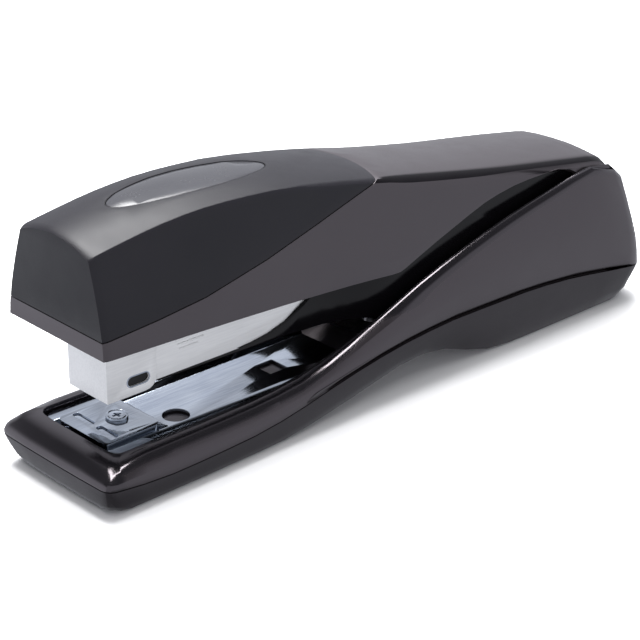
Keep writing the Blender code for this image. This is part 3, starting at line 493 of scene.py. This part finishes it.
# ---------------------------------------------------------------- workbench
class Bench:
    """Operator modelling: selection, edit mode, and putting a finished piece on its body."""

    @staticmethod
    def clear() -> None:
        """Leaves edit mode and deselects everything."""
        if bpy.context.mode != "OBJECT":
            bpy.ops.object.mode_set(mode="OBJECT")
        bpy.ops.object.select_all(action="DESELECT")

    @staticmethod
    def take(obj: bpy.types.Object) -> bpy.types.Object:
        """Makes one object the only one selected, and active."""
        Bench.clear()
        obj.select_set(True)
        bpy.context.view_layer.objects.active = obj
        return obj

    @staticmethod
    def start(name: str) -> bpy.types.Object:
        """Names the primitive that was just added."""
        obj = bpy.context.active_object
        obj.name = obj.data.name = name
        return obj

    @staticmethod
    def edit(obj: bpy.types.Object, kind: str = "FACE", everything: bool = False) -> None:
        """Opens an object in edit mode.

        Args:
            obj: the object.
            kind: VERT, EDGE or FACE.
            everything: whether all of it starts selected.
        """
        Bench.take(obj)
        bpy.ops.object.mode_set(mode="EDIT")
        bpy.ops.mesh.select_mode(type=kind)
        bpy.ops.mesh.select_all(action="SELECT" if everything else "DESELECT")

    @staticmethod
    def pick_faces(obj: bpy.types.Object, wanted: Callable[[bmesh.types.BMFace], bool]) -> int:
        """Selects faces by their place or normal.

        Args:
            obj: an object in edit mode.
            wanted: says whether a face is picked.

        Returns:
            How many faces were picked.
        """
        mesh = bmesh.from_edit_mesh(obj.data)
        for face in mesh.faces:
            face.select_set(False)
        found = [face for face in mesh.faces if wanted(face)]
        for face in found:
            face.select_set(True)
        bmesh.update_edit_mesh(obj.data)
        return len(found)

    @staticmethod
    def pick_points(obj: bpy.types.Object, wanted: Callable[[Vector], bool]) -> int:
        """Selects points by their place.

        Args:
            obj: an object in edit mode, in point mode.
            wanted: says whether a place is picked.

        Returns:
            How many points were picked.
        """
        mesh = bmesh.from_edit_mesh(obj.data)
        place = obj.matrix_world
        for vertex in mesh.verts:
            vertex.select_set(wanted(place @ vertex.co))
        mesh.select_flush_mode()
        bmesh.update_edit_mesh(obj.data)
        return sum(vertex.select for vertex in mesh.verts)

    @staticmethod
    def apply(obj: bpy.types.Object, kind: str, **settings: object) -> None:
        """Adds a modifier and applies it.

        Args:
            obj: the object.
            kind: the modifier's type.
            settings: the modifier's own settings.
        """
        Bench.take(obj)
        modifier = obj.modifiers.new(kind.lower(), kind)
        for name, value in settings.items():
            setattr(modifier, name, value)
        bpy.ops.object.modifier_apply(modifier=modifier.name)

    @staticmethod
    def round_edges(obj: bpy.types.Object, width: float, segments: int = 2, sharp: float = SHARP) -> None:
        """Rounds the edges sharper than an angle in degrees."""
        Bench.apply(obj, "BEVEL", width=width, segments=segments, limit_method="ANGLE",
                    angle_limit=radians(sharp), miter_outer="MITER_ARC", use_clamp_overlap=True)

    @staticmethod
    def smooth(obj: bpy.types.Object, angle: float = CREASE) -> None:
        """Shades an object smooth, except over edges sharper than an angle in degrees."""
        Bench.take(obj)
        bpy.ops.object.shade_smooth_by_angle(angle=radians(angle))

    @staticmethod
    def ready(obj: bpy.types.Object, body: Body, finish: Finish,
              nodes: Iterable[str] = ()) -> bpy.types.Object:
        """Sets a finished piece's place in its mesh, dresses it and puts it on its body.

        Args:
            obj: the piece.
            body: the body that it rides on.
            finish: its finish.
            nodes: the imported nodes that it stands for.

        Returns:
            The piece.
        """
        Bench.take(obj)
        bpy.ops.object.transform_apply(location=True, rotation=True, scale=True)
        obj.data.materials.clear()
        obj.data.materials.append(PALETTE(finish))
        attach(obj, body.value)
        if nodes:
            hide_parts(*nodes)
        LOG.info("%s: %d faces on %s in %s", obj.name, len(obj.data.polygons), body.value, finish.name)
        return obj

    @staticmethod
    def recalculate(obj: bpy.types.Object) -> None:
        """Merges doubled points and turns every face outwards."""
        Bench.edit(obj, "VERT", True)
        bpy.ops.mesh.remove_doubles(threshold=DOUBLE)
        bpy.ops.mesh.normals_make_consistent(inside=False)
        bpy.ops.object.mode_set(mode="OBJECT")


@dataclass(frozen=True)
class Ridge:
    """A long outer edge that is rounded more than the rest: the rim that runs round the base's upper shell."""

    width: float = 1.8 * MM
    segments: int = 6
    side: float = 18.2 * MM
    nose: float = -95.2 * MM
    tail: float = 92.6 * MM
    floor: float = 11.5 * MM

    def holds(self, place: Vector) -> bool:
        """Whether a point lies on the rim."""
        outer = abs(place.y) > self.side or place.x < self.nose or place.x > self.tail
        return outer and place.z > self.floor

    def round(self, obj: bpy.types.Object) -> None:
        """Rounds the rim of a shell.

        Args:
            obj: the merged shell.
        """
        Bench.edit(obj, "EDGE")
        bpy.ops.mesh.edges_select_sharp(sharpness=radians(SHARP))
        mesh = bmesh.from_edit_mesh(obj.data)
        for edge in mesh.edges:
            if edge.select and not all(self.holds(vertex.co) for vertex in edge.verts):
                edge.select_set(False)
        found = sum(edge.select for edge in mesh.edges)
        bmesh.update_edit_mesh(obj.data)
        bpy.ops.mesh.bevel(offset=self.width, segments=self.segments, affect="EDGES", clamp_overlap=False)
        bpy.ops.object.mode_set(mode="OBJECT")
        LOG.info("rim rounded along %d edges", found)


@dataclass(frozen=True)
class Refinement:
    """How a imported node's shape is carried over: merged, its edges rounded and its faces smoothed."""

    node: str
    finish: Finish
    edge: float = 0.15 * MM
    segments: int = 2
    sharp: float = SHARP
    flat: float = 0.3
    ridge: Ridge | None = None
    crease: float = CREASE

    def make(self, body: Body) -> bpy.types.Object:
        """Builds the refined copy.

        Args:
            body: the body that it rides on.

        Returns:
            The copy, which stands for the node.
        """
        Bench.clear()
        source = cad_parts[self.node]
        obj = bpy.data.objects.new(f"{self.node}_fine", source.data.copy())
        bpy.context.scene.collection.objects.link(obj)
        Bench.recalculate(obj)
        Bench.edit(obj, "VERT", True)
        bpy.ops.mesh.dissolve_limited(angle_limit=radians(self.flat))
        bpy.ops.object.mode_set(mode="OBJECT")
        if self.ridge:
            self.ridge.round(obj)
        if self.edge:
            Bench.round_edges(obj, self.edge, self.segments, self.sharp)
        Bench.smooth(obj, self.crease)
        return Bench.ready(obj, body, self.finish, [self.node])


def keep(node: str, finish: Finish, edge: float = 0.0) -> None:
    """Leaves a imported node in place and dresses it, with its seams closed and, if asked, its edges rounded.

    Args:
        node: the node's name.
        finish: its finish.
        edge: the width of its rounded edges.
    """
    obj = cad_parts[node]
    obj.data.materials.clear()
    obj.data.materials.append(PALETTE(finish))
    for polygon in obj.data.polygons:
        polygon.use_smooth = True
        polygon.material_index = 0
    weld = obj.modifiers.new("weld", "WELD")
    weld.merge_threshold = DOUBLE
    if edge:
        bevel = obj.modifiers.new("edges", "BEVEL")
        bevel.width, bevel.segments = edge, 2
        bevel.limit_method, bevel.angle_limit = "ANGLE", radians(SHARP)
    shade = obj.modifiers.new("shade", "WEIGHTED_NORMAL")
    shade.keep_sharp = True
    LOG.info("%s: packed node in %s", node, finish.name)


# ---------------------------------------------------------------- sub-assemblies
@dataclass
class Base:
    """The two-part base with its plate, anvil, hinge bracket, spring, feet and screws."""

    bead_radius: float = 0.6 * MM
    bead_turn: float = 3.0 * MM
    bead_gap: float = 2.2 * MM
    bead_far: float = 7.5 * MM
    bead_front: float = 9.5 * MM
    skin_edge: float = 0.35 * MM
    head_height: float = 0.75 * MM
    head_rings: tuple[tuple[float, float], ...] = ((0.45, -0.22), (0.3, 0.2), (0.3, -0.08))
    cross_width: float = 0.6 * MM
    cross_length: float = 2.5 * MM
    cross_depth: float = 0.5 * MM
    cross_sink: float = 0.1 * MM
    head_edge: float = 0.06 * MM
    bead_edge: float = 0.35 * MM
    sheet_edge: float = 0.2 * MM
    pad_edge: float = 0.3 * MM
    fixing_edge: float = 0.1 * MM

    def anvil_screw(self) -> None:
        """Turns the anvil's screw: a low head with concentric rings and a cross recess."""
        low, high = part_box("anvil_screw")
        middle, seat = (low + high) / 2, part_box("anvil_plate")[1].z
        Bench.clear()
        bpy.ops.mesh.primitive_cylinder_add(
            vertices=64, radius=(high.x - low.x) / 2, depth=2 * self.head_height,
            location=(middle.x, middle.y, seat))
        obj = Bench.start("anvil_screw_fine")
        bpy.ops.object.transform_apply(location=True, rotation=True, scale=True)
        Bench.edit(obj)
        Bench.pick_faces(obj, lambda face: face.normal.z > 0.9)
        for width, rise in self.head_rings:
            bpy.ops.mesh.inset(thickness=width * MM)
            bpy.ops.transform.translate(value=(0, 0, rise * MM))
        bpy.ops.object.mode_set(mode="OBJECT")
        for name, size in (("slot_a", (self.cross_length, self.cross_width)),
                           ("slot_b", (self.cross_width, self.cross_length))):
            Bench.clear()
            bpy.ops.mesh.primitive_cube_add(
                size=1, scale=(*size, 2 * self.cross_depth),
                location=(middle.x, middle.y, seat + self.head_height - self.cross_sink))
            cutter = Bench.start(name)
            bpy.ops.object.transform_apply(location=True, rotation=True, scale=True)
            Bench.apply(obj, "BOOLEAN", object=cutter, operation="DIFFERENCE", solver="EXACT")
            bpy.data.objects.remove(cutter)
        Bench.recalculate(obj)
        Bench.round_edges(obj, self.head_edge, 2, 20)
        Bench.smooth(obj)
        Bench.ready(obj, Body.BASE, FINISHES[Slot.CHROME], ["anvil_screw"])

    def anvil_bead(self) -> None:
        """Raises a rounded bead in the plate that turns round the anvil's rear corner."""
        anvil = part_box("anvil_plate")
        floor = anvil[0].z
        rear = anvil[1].x + self.bead_gap
        near = anvil[0].y - self.bead_gap
        run = self.bead_far - (near + self.bead_turn)
        Bench.clear()
        bpy.ops.mesh.primitive_cylinder_add(
            vertices=16, radius=self.bead_radius, depth=run, rotation=(pi / 2, 0, 0),
            location=(rear, self.bead_far - run / 2, floor))
        obj = Bench.start("anvil_bead")
        bpy.ops.object.transform_apply(location=True, rotation=True, scale=True)
        Bench.edit(obj)
        Bench.pick_faces(obj, lambda face: face.normal.y < -0.9)
        bpy.ops.mesh.spin(steps=10, angle=pi / 2, axis=(0, 0, -1),
                          center=(rear - self.bead_turn, near + self.bead_turn, floor))
        bpy.ops.mesh.extrude_region_move(TRANSFORM_OT_translate={
            "value": (-(rear - self.bead_turn - (anvil[0].x + self.bead_front)), 0, 0)})
        bpy.ops.transform.resize(value=(1, 0.5, 0.5), center_override=(0, near, floor))
        bpy.ops.object.mode_set(mode="OBJECT")
        Bench.recalculate(obj)
        Bench.round_edges(obj, self.bead_edge, 3, 50)
        Bench.smooth(obj)
        Bench.ready(obj, Body.BASE, FINISHES[Slot.CHROME])

    def build(self) -> None:
        """Builds and dresses every piece of the base."""
        Refinement("base_upper_shell", BASE_SKIN, self.skin_edge, 3, 26, ridge=Ridge()).make(Body.BASE)
        Refinement("base_lower_shell", LOWER_SKIN, self.sheet_edge, 2, 26).make(Body.BASE)
        Refinement("base_channel", FINISHES[Slot.CHROME], self.sheet_edge, 3).make(Body.BASE)
        Refinement("anvil_plate", FINISHES[Slot.CHROME], self.sheet_edge, 3).make(Body.BASE)
        self.anvil_screw()
        self.anvil_bead()
        for node in ("front_foot_pad", "rear_foot_pad"):
            Refinement(node, FINISHES[Slot.RUBBER], self.pad_edge, 3).make(Body.BASE)
        for node in ("hinge_bracket", "hinge_pin", "pin_clip_left", "pin_clip_right", "lift_spring_rivet",
                     "bracket_screw_1", "bracket_screw_2", *(f"base_screw_{k}" for k in range(1, 5))):
            keep(node, FINISHES[Slot.SPRING], self.fixing_edge)
        keep("lift_spring", FINISHES[Slot.SPRING])


@dataclass
class Magazine:
    """The staple channel with its front housing, plastic carrier, rail, rod and springs."""

    slot_from_nose: float = 9.8 * MM
    slot_height: float = 3.8 * MM
    slot_half_run: float = 2.1 * MM
    slot_radius: float = 1.25 * MM
    rim: float = 0.35 * MM
    rim_proud: float = 0.12 * MM
    rim_edge: float = 0.08 * MM
    # sizes of the dark sheet in the side slot, which is painted shade for the slot's dark inside
    shade_sheet_play: float = 0.02 * MM
    shade_sheet_sink: float = 0.5 * MM
    shade_sheet_inset: float = 0.3 * MM
    shade_sheet_dish: float = 0.08 * MM
    shade_sheet_thickness: float = 0.12 * MM
    oval_points: int = 40
    stroke_inset: float = 0.08 * MM
    stroke_crown: float = 0.04 * MM
    stroke_edge: float = 0.05 * MM
    stroke_start: float = 7.0 * MM
    stroke_top: float = 10.1 * MM
    stroke_step: float = 0.6 * MM
    stroke_lengths: tuple[float, ...] = (9.5 * MM, 8.5 * MM, 6.0 * MM)
    stroke_pitch: float = 1.3 * MM
    stroke_width: float = 0.45 * MM
    stroke_proud: float = 0.16 * MM
    tray_steps: tuple[tuple[float, float, float], ...] = (
        (26.0 * MM, 0.83, 0.50), (33.6 * MM, 0.90, 0.35), (38.1 * MM, 0.92, 0.40), (44.1 * MM, 0.95, 0.55),
        (50.1 * MM, 0.97, 0.75))
    tray_side: float = 7.0 * MM
    tray_drop: float = 0.3 * MM
    housing_edge: float = 0.25 * MM
    channel_edge: float = 0.15 * MM
    carrier_edge: float = 0.3 * MM
    fixing_edge: float = 0.1 * MM

    def slot_oval(self, name: str, side: int, radius: float, out: float) -> bpy.types.Object:
        """Draws the side slot's oval as one flat face.

        Args:
            name: the new piece's name.
            side: -1 for the near side, 1 for the far side.
            radius: the oval's end radius.
            out: how far it lies outside the housing's side.

        Returns:
            The oval.
        """
        low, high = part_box("front_housing")
        middle = Vector((low.x + self.slot_from_nose, (high.y + out) * side, low.z + self.slot_height))
        Bench.clear()
        bpy.ops.mesh.primitive_circle_add(
            vertices=self.oval_points, radius=radius, fill_type="NGON", location=middle,
            rotation=(pi / 2, pi / self.oval_points, 0))
        obj = Bench.start(name)
        bpy.ops.object.transform_apply(location=True, rotation=True, scale=True)
        for way in (-1, 1):
            Bench.edit(obj, "VERT")
            Bench.pick_points(obj, lambda point, way=way: (point.x - middle.x) * way > 0)
            bpy.ops.transform.translate(value=(way * self.slot_half_run, 0, 0))
        bpy.ops.object.mode_set(mode="OBJECT")
        return obj

    def slot_rim(self, side: int) -> None:
        """Turns up a thin lip round the housing's side slot.

        Args:
            side: -1 for the near side, 1 for the far side.
        """
        name = "slot_rim_near" if side < 0 else "slot_rim_far"
        obj = self.slot_oval(name, side, self.slot_radius + self.rim, 0.0)
        Bench.edit(obj, "FACE", True)
        bpy.ops.mesh.inset(thickness=self.rim)
        bpy.ops.mesh.delete(type="FACE")
        bpy.ops.object.mode_set(mode="OBJECT")
        Bench.apply(obj, "SOLIDIFY", thickness=2 * self.rim_proud, offset=0)
        Bench.recalculate(obj)
        Bench.round_edges(obj, self.rim_edge)
        Bench.smooth(obj, TIGHT_CREASE)
        Bench.ready(obj, Body.MAGAZINE, FINISHES[Slot.CHROME])

    def slot_shade_sheet(self, side: int) -> None:
        """Sets a dark dished sheet in the side slot. It is painted shade, standing in for the dark inside that
        the slot shows.

        Args:
            side: -1 for the near side, 1 for the far side.
        """
        name = "slot_shade_sheet_near" if side < 0 else "slot_shade_sheet_far"
        obj = self.slot_oval(name, side, self.slot_radius + self.shade_sheet_play, -self.shade_sheet_sink)
        Bench.edit(obj, "FACE", True)
        bpy.ops.mesh.inset(thickness=self.shade_sheet_inset)
        bpy.ops.transform.translate(value=(0, -self.shade_sheet_dish * side, 0))
        bpy.ops.object.mode_set(mode="OBJECT")
        Bench.apply(obj, "SOLIDIFY", thickness=self.shade_sheet_thickness, offset=0)
        Bench.recalculate(obj)
        Bench.smooth(obj, TIGHT_CREASE)
        Bench.ready(obj, Body.MAGAZINE, FINISHES[Slot.GLOSS])

    def pressed_strokes(self, side: int) -> None:
        """Presses three plain strokes into the channel's side, as a row of rounded bars.

        Args:
            side: -1 for the near side, 1 for the far side.
        """
        housing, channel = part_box("front_housing"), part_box("magazine_channel")
        top = housing[0].z + self.stroke_top
        made: list[bpy.types.Object] = []
        for k, length in enumerate(self.stroke_lengths):
            start = housing[1].x + self.stroke_start + k * self.stroke_step
            Bench.clear()
            bpy.ops.mesh.primitive_cube_add(
                size=1, scale=(length, 2 * self.stroke_proud, self.stroke_width),
                location=(start + length / 2, channel[1].y * side, top - k * self.stroke_pitch))
            bar = Bench.start(f"stroke_{k}")
            bpy.ops.object.transform_apply(location=True, rotation=True, scale=True)
            Bench.edit(bar)
            Bench.pick_faces(bar, lambda face: face.normal.y * side > 0.9)
            bpy.ops.mesh.inset(thickness=self.stroke_inset)
            bpy.ops.transform.translate(value=(0, side * self.stroke_crown, 0))
            bpy.ops.object.mode_set(mode="OBJECT")
            made.append(bar)
        first = Bench.take(made[0])
        for bar in made:
            bar.select_set(True)
        bpy.ops.object.join()
        first.name = first.data.name = "channel_strokes_near" if side < 0 else "channel_strokes_far"
        Bench.round_edges(first, self.stroke_edge)
        Bench.smooth(first, TIGHT_CREASE)
        Bench.ready(first, Body.MAGAZINE, FINISHES[Slot.STEEL])

    def slim_tray(self, carrier: bpy.types.Object) -> None:
        """Draws the carrier's front tray in under the channel.

        Args:
            carrier: the refined carrier.
        """
        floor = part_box("magazine_channel")[0].z - self.tray_drop
        start = -1.0
        for reach, width, height in self.tray_steps:
            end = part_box("front_housing")[1].x + reach
            Bench.edit(carrier, "VERT")
            found = Bench.pick_points(carrier, lambda point, start=start, end=end: (
                start <= point.x < end and abs(point.y) > self.tray_side))
            bpy.ops.transform.resize(value=(1, width, height), center_override=(0, 0, floor))
            bpy.ops.object.mode_set(mode="OBJECT")
            LOG.info("tray drawn in at %d points up to %.4f", found, end)
            start = end

    def build(self) -> None:
        """Builds and dresses every piece of the magazine."""
        Refinement("front_housing", FINISHES[Slot.STEEL], self.housing_edge, 3).make(Body.MAGAZINE)
        Refinement("magazine_channel", FINISHES[Slot.STEEL], self.channel_edge).make(Body.MAGAZINE)
        carrier = Refinement("magazine_carrier", FINISHES[Slot.GLOSS], self.carrier_edge, 3, 30)
        self.slim_tray(carrier.make(Body.MAGAZINE))
        for side in (-1, 1):
            self.slot_rim(side)
            # the dark sheet in each slot is painted shade
            self.slot_shade_sheet(side)
            self.pressed_strokes(side)
        keep("staple_rail", FINISHES[Slot.STEEL], self.fixing_edge)
        for node in ("carrier_rivet_1", "carrier_rivet_2", "guide_rod", "spring_stop"):
            keep(node, FINISHES[Slot.SPRING], self.fixing_edge)
        for node in ("pusher_spring", "handle_spring"):
            keep(node, FINISHES[Slot.SPRING])


@dataclass
class Pusher:
    """The sliding block that drives the staples forward."""

    edge: float = 0.25 * MM

    def build(self) -> None:
        """Dresses the pusher."""
        Refinement("pusher", FINISHES[Slot.SATIN], self.edge, 2).make(Body.PUSHER)


@dataclass
class Handle:
    """The two-part handle with its badge, lever, driver blade and fixings."""

    cover_edge: float = 0.4 * MM
    body_edge: float = 0.35 * MM
    rim: float = 0.5 * MM
    rim_proud: float = 0.12 * MM
    rim_overlap: float = 0.9
    rim_lift: float = 4 * MM
    rim_edge: float = 0.1 * MM
    points: int = 96
    body_crease: float = 17.0
    badge_edge: float = 0.1 * MM
    blade_edge: float = 0.08 * MM
    lever_edge: float = 0.15 * MM
    fixing_edge: float = 0.1 * MM

    def badge_rim(self, cover: bpy.types.Object) -> None:
        """Lays a thin raised lip on the cover round the badge.

        Args:
            cover: the refined cover that the lip lies on.
        """
        low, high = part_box("badge_insert")
        middle = (low + high) / 2
        half = (high - low) / 2
        Bench.clear()
        bpy.ops.mesh.primitive_circle_add(vertices=self.points, radius=1, fill_type="NGON",
                                          location=(middle.x, middle.y, high.z + self.rim_lift))
        obj = Bench.start("badge_rim")
        bpy.ops.transform.resize(value=(half.x + self.rim, half.y + self.rim, 1))
        bpy.ops.object.transform_apply(location=True, rotation=True, scale=True)
        Bench.edit(obj, "FACE", True)
        bpy.ops.mesh.inset(thickness=self.rim * self.rim_overlap)
        bpy.ops.mesh.delete(type="FACE")
        bpy.ops.object.mode_set(mode="OBJECT")
        Bench.apply(obj, "SHRINKWRAP", target=cover, wrap_method="PROJECT", use_project_z=True,
                    use_negative_direction=True, use_positive_direction=False)
        Bench.apply(obj, "SOLIDIFY", thickness=2 * self.rim_proud, offset=0)
        Bench.recalculate(obj)
        Bench.round_edges(obj, self.rim_edge)
        Bench.smooth(obj, TIGHT_CREASE)
        Bench.ready(obj, Body.HANDLE, FINISHES[Slot.GLOSS])

    def build(self) -> None:
        """Builds and dresses every piece of the handle."""
        skin = Refinement("handle_body", HANDLE_SKIN, self.body_edge, 3, 30, crease=self.body_crease)
        skin.make(Body.HANDLE)
        cover = Refinement("front_cover", FINISHES[Slot.MATTE], self.cover_edge, 3, 30).make(Body.HANDLE)
        Refinement("badge_insert", FINISHES[Slot.BADGE], self.badge_edge).make(Body.HANDLE)
        self.badge_rim(cover)
        Refinement("driver_blade", FINISHES[Slot.STEEL], self.blade_edge).make(Body.HANDLE)
        Refinement("drive_lever", FINISHES[Slot.STEEL], self.lever_edge).make(Body.HANDLE)
        for node in ("lever_screw_1", "lever_screw_2", "driver_rivet_1", "driver_rivet_2"):
            keep(node, FINISHES[Slot.SPRING], self.fixing_edge)


# ---------------------------------------------------------------- studio
@dataclass
class Studio:
    """A pale floor, a sky graded like a studio sweep, a soft light and the camera."""

    floor_size: float = 6.0
    floor_colour: Colour = (0.86, 0.86, 0.87)
    sky_tint: Colour = (0.94, 0.965, 1.04)
    side_way: tuple[float, float, float] = (-0.64, 0.70, -0.29)
    side_reach: Span = (0.3, 0.95)
    side_light: Span = (0.74, 1.15)
    top_rise: Span = (0.22, 0.60)
    top_share: float = 0.18
    ground_rise: Span = (-0.95, -0.45)
    ground_share: float = 0.25
    glow_way: tuple[float, float, float] = (0.42, 0.45, 0.79)
    glow_reach: Span = (0.82, 0.99)
    glow_light: float = 0.9
    softbox_size: tuple[float, float] = (0.65, 0.34)
    softbox_place: tuple[float, float, float] = (0.44, 0.49, 1.10)
    softbox_power: float = 7.5
    strip_size: tuple[float, float] = (0.60, 0.80)
    strip_place: tuple[float, float, float] = (0.05, 0.25, 1.2)
    strip_power: float = 25.0
    fill_size: float = 3.0
    fill_height: float = 2.0
    fill_power: float = 40.0
    front_size: tuple[float, float] = (1.0, 1.0)
    front_place: tuple[float, float, float] = (-0.35, -1.05, 0.45)
    front_power: float = 2.5
    target: tuple[float, float, float] = (-0.01129, 0.0, 0.0195)
    azimuth: float = -42.0
    elevation: float = 25.0
    distance: float = 0.6458
    lens: float = 135.0

    def floor(self) -> None:
        """Lays the floor, which the stapler's own surfaces don't mirror."""
        Bench.clear()
        bpy.ops.mesh.primitive_plane_add(size=self.floor_size)
        obj = Bench.start("floor")
        Bench.edit(obj, "EDGE", True)
        bpy.ops.mesh.subdivide(number_cuts=3)
        bpy.ops.object.mode_set(mode="OBJECT")
        obj.visible_diffuse = obj.visible_glossy = False
        board = Board("floor_paper")
        board.fix(Specular_IOR_Level=0.1)
        tone = board.noise(0.4, 2)
        soft = tuple(value * 0.985 for value in self.floor_colour)
        colour = board.blend(tone, self.floor_colour, soft)
        rough = board.spread(tone, (0, 1), (0.85, 0.95))
        obj.data.materials.append(board.finish(colour, rough, board.relief(board.noise(2 * MM), 0.01 * MM)))

    def sky(self) -> None:
        """Grades the sky: bright behind and to the left, dim overhead, in front and straight below."""
        world = bpy.data.worlds.new("studio_sky")
        bpy.context.scene.world = world
        world.use_nodes = True
        nodes, links = world.node_tree.nodes, world.node_tree.links
        way = nodes.new("ShaderNodeTexCoord").outputs["Generated"]
        parts = nodes.new("ShaderNodeSeparateXYZ")
        links.new(way, parts.inputs[0])

        def towards(direction: tuple[float, float, float]) -> bpy.types.NodeSocket:
            """How far the sky's direction leans towards another, from -1 to 1."""
            node = nodes.new("ShaderNodeVectorMath")
            node.operation = "DOT_PRODUCT"
            links.new(way, node.inputs[0])
            node.inputs[1].default_value = Vector(direction).normalized()
            return node.outputs["Value"]

        def eased(value: bpy.types.NodeSocket, source: Span, target: Span) -> bpy.types.NodeSocket:
            """Eases values from one range to another."""
            node = nodes.new("ShaderNodeMapRange")
            node.interpolation_type = "SMOOTHSTEP"
            links.new(value, node.inputs["Value"])
            for name, number in zip(("From Min", "From Max", "To Min", "To Max"), (*source, *target)):
                node.inputs[name].default_value = number
            return node.outputs["Result"]

        def both(operation: str, a: bpy.types.NodeSocket, b: bpy.types.NodeSocket) -> bpy.types.NodeSocket:
            """Works on two values."""
            node = nodes.new("ShaderNodeMath")
            node.operation = operation
            links.new(a, node.inputs[0])
            links.new(b, node.inputs[1])
            return node.outputs[0]

        sides = eased(towards(self.side_way), self.side_reach, self.side_light)
        top = eased(parts.outputs["Z"], self.top_rise, (1, self.top_share))
        ground = eased(parts.outputs["Z"], self.ground_rise, (self.ground_share, 1))
        glow = eased(towards(self.glow_way), self.glow_reach, (0, self.glow_light))
        light = both("ADD", both("MULTIPLY", both("MULTIPLY", sides, top), ground), glow)
        seen = nodes.new("ShaderNodeLightPath").outputs["Is Camera Ray"]
        shader = nodes["Background"]
        shader.inputs["Color"].default_value = (*self.sky_tint, 1)
        links.new(both("MAXIMUM", light, seen), shader.inputs["Strength"])

    def lamp(self, name: str, place: tuple[float, float, float], size: tuple[float, float],
             power: float) -> bpy.types.Object:
        """Hangs a soft light that faces the stapler.

        Args:
            name: the light's name.
            place: where it hangs.
            size: its width and depth.
            power: its power in watts.

        Returns:
            The lamp.
        """
        light = bpy.data.lights.new(name, "AREA")
        light.shape = "RECTANGLE"
        light.size, light.size_y = size
        light.energy = power
        lamp = bpy.data.objects.new(name, light)
        lamp.location = place
        lamp.rotation_euler = (-Vector(place)).to_track_quat("-Z", "Y").to_euler()
        bpy.context.scene.collection.objects.link(lamp)
        return lamp

    def lamps(self) -> None:
        """Hangs the softbox and strip that gloss mirrors, and two wide fills that it doesn't."""
        self.lamp("softbox", self.softbox_place, self.softbox_size, self.softbox_power)
        self.lamp("strip", self.strip_place, self.strip_size, self.strip_power)
        fill = self.lamp("fill", (0.0, 0.0, self.fill_height), (self.fill_size, self.fill_size), self.fill_power)
        front = self.lamp("front_fill", self.front_place, self.front_size, self.front_power)
        fill.visible_glossy = front.visible_glossy = False

    def camera(self) -> None:
        """Sets the camera."""
        turn, rise = radians(self.azimuth), radians(self.elevation)
        back = Vector((sin(turn) * cos(rise), -cos(turn) * cos(rise), sin(rise)))
        lens = bpy.data.cameras.new("camera")
        lens.lens, lens.sensor_width = self.lens, 36.0
        lens.clip_start, lens.clip_end = 0.01, 20.0
        eye = bpy.data.objects.new("camera", lens)
        eye.location = Vector(self.target) + back * self.distance
        eye.rotation_mode = "QUATERNION"
        eye.rotation_quaternion = (-back).to_track_quat("-Z", "Y")
        bpy.context.scene.collection.objects.link(eye)
        bpy.context.scene.camera = eye

    def build(self) -> None:
        """Sets up the studio."""
        bpy.context.scene.view_settings.view_transform = "Standard"
        self.floor()
        self.sky()
        self.lamps()
        self.camera()


def main() -> None:
    """Builds the stapler's pieces and the studio round them."""
    logging.basicConfig(level=logging.INFO, format="%(name)s: %(message)s")
    for assembly in (Base(), Magazine(), Pusher(), Handle(), Studio()):
        LOG.info("building %s", type(assembly).__name__)
        assembly.build()


if __name__ == "__main__":
    main()
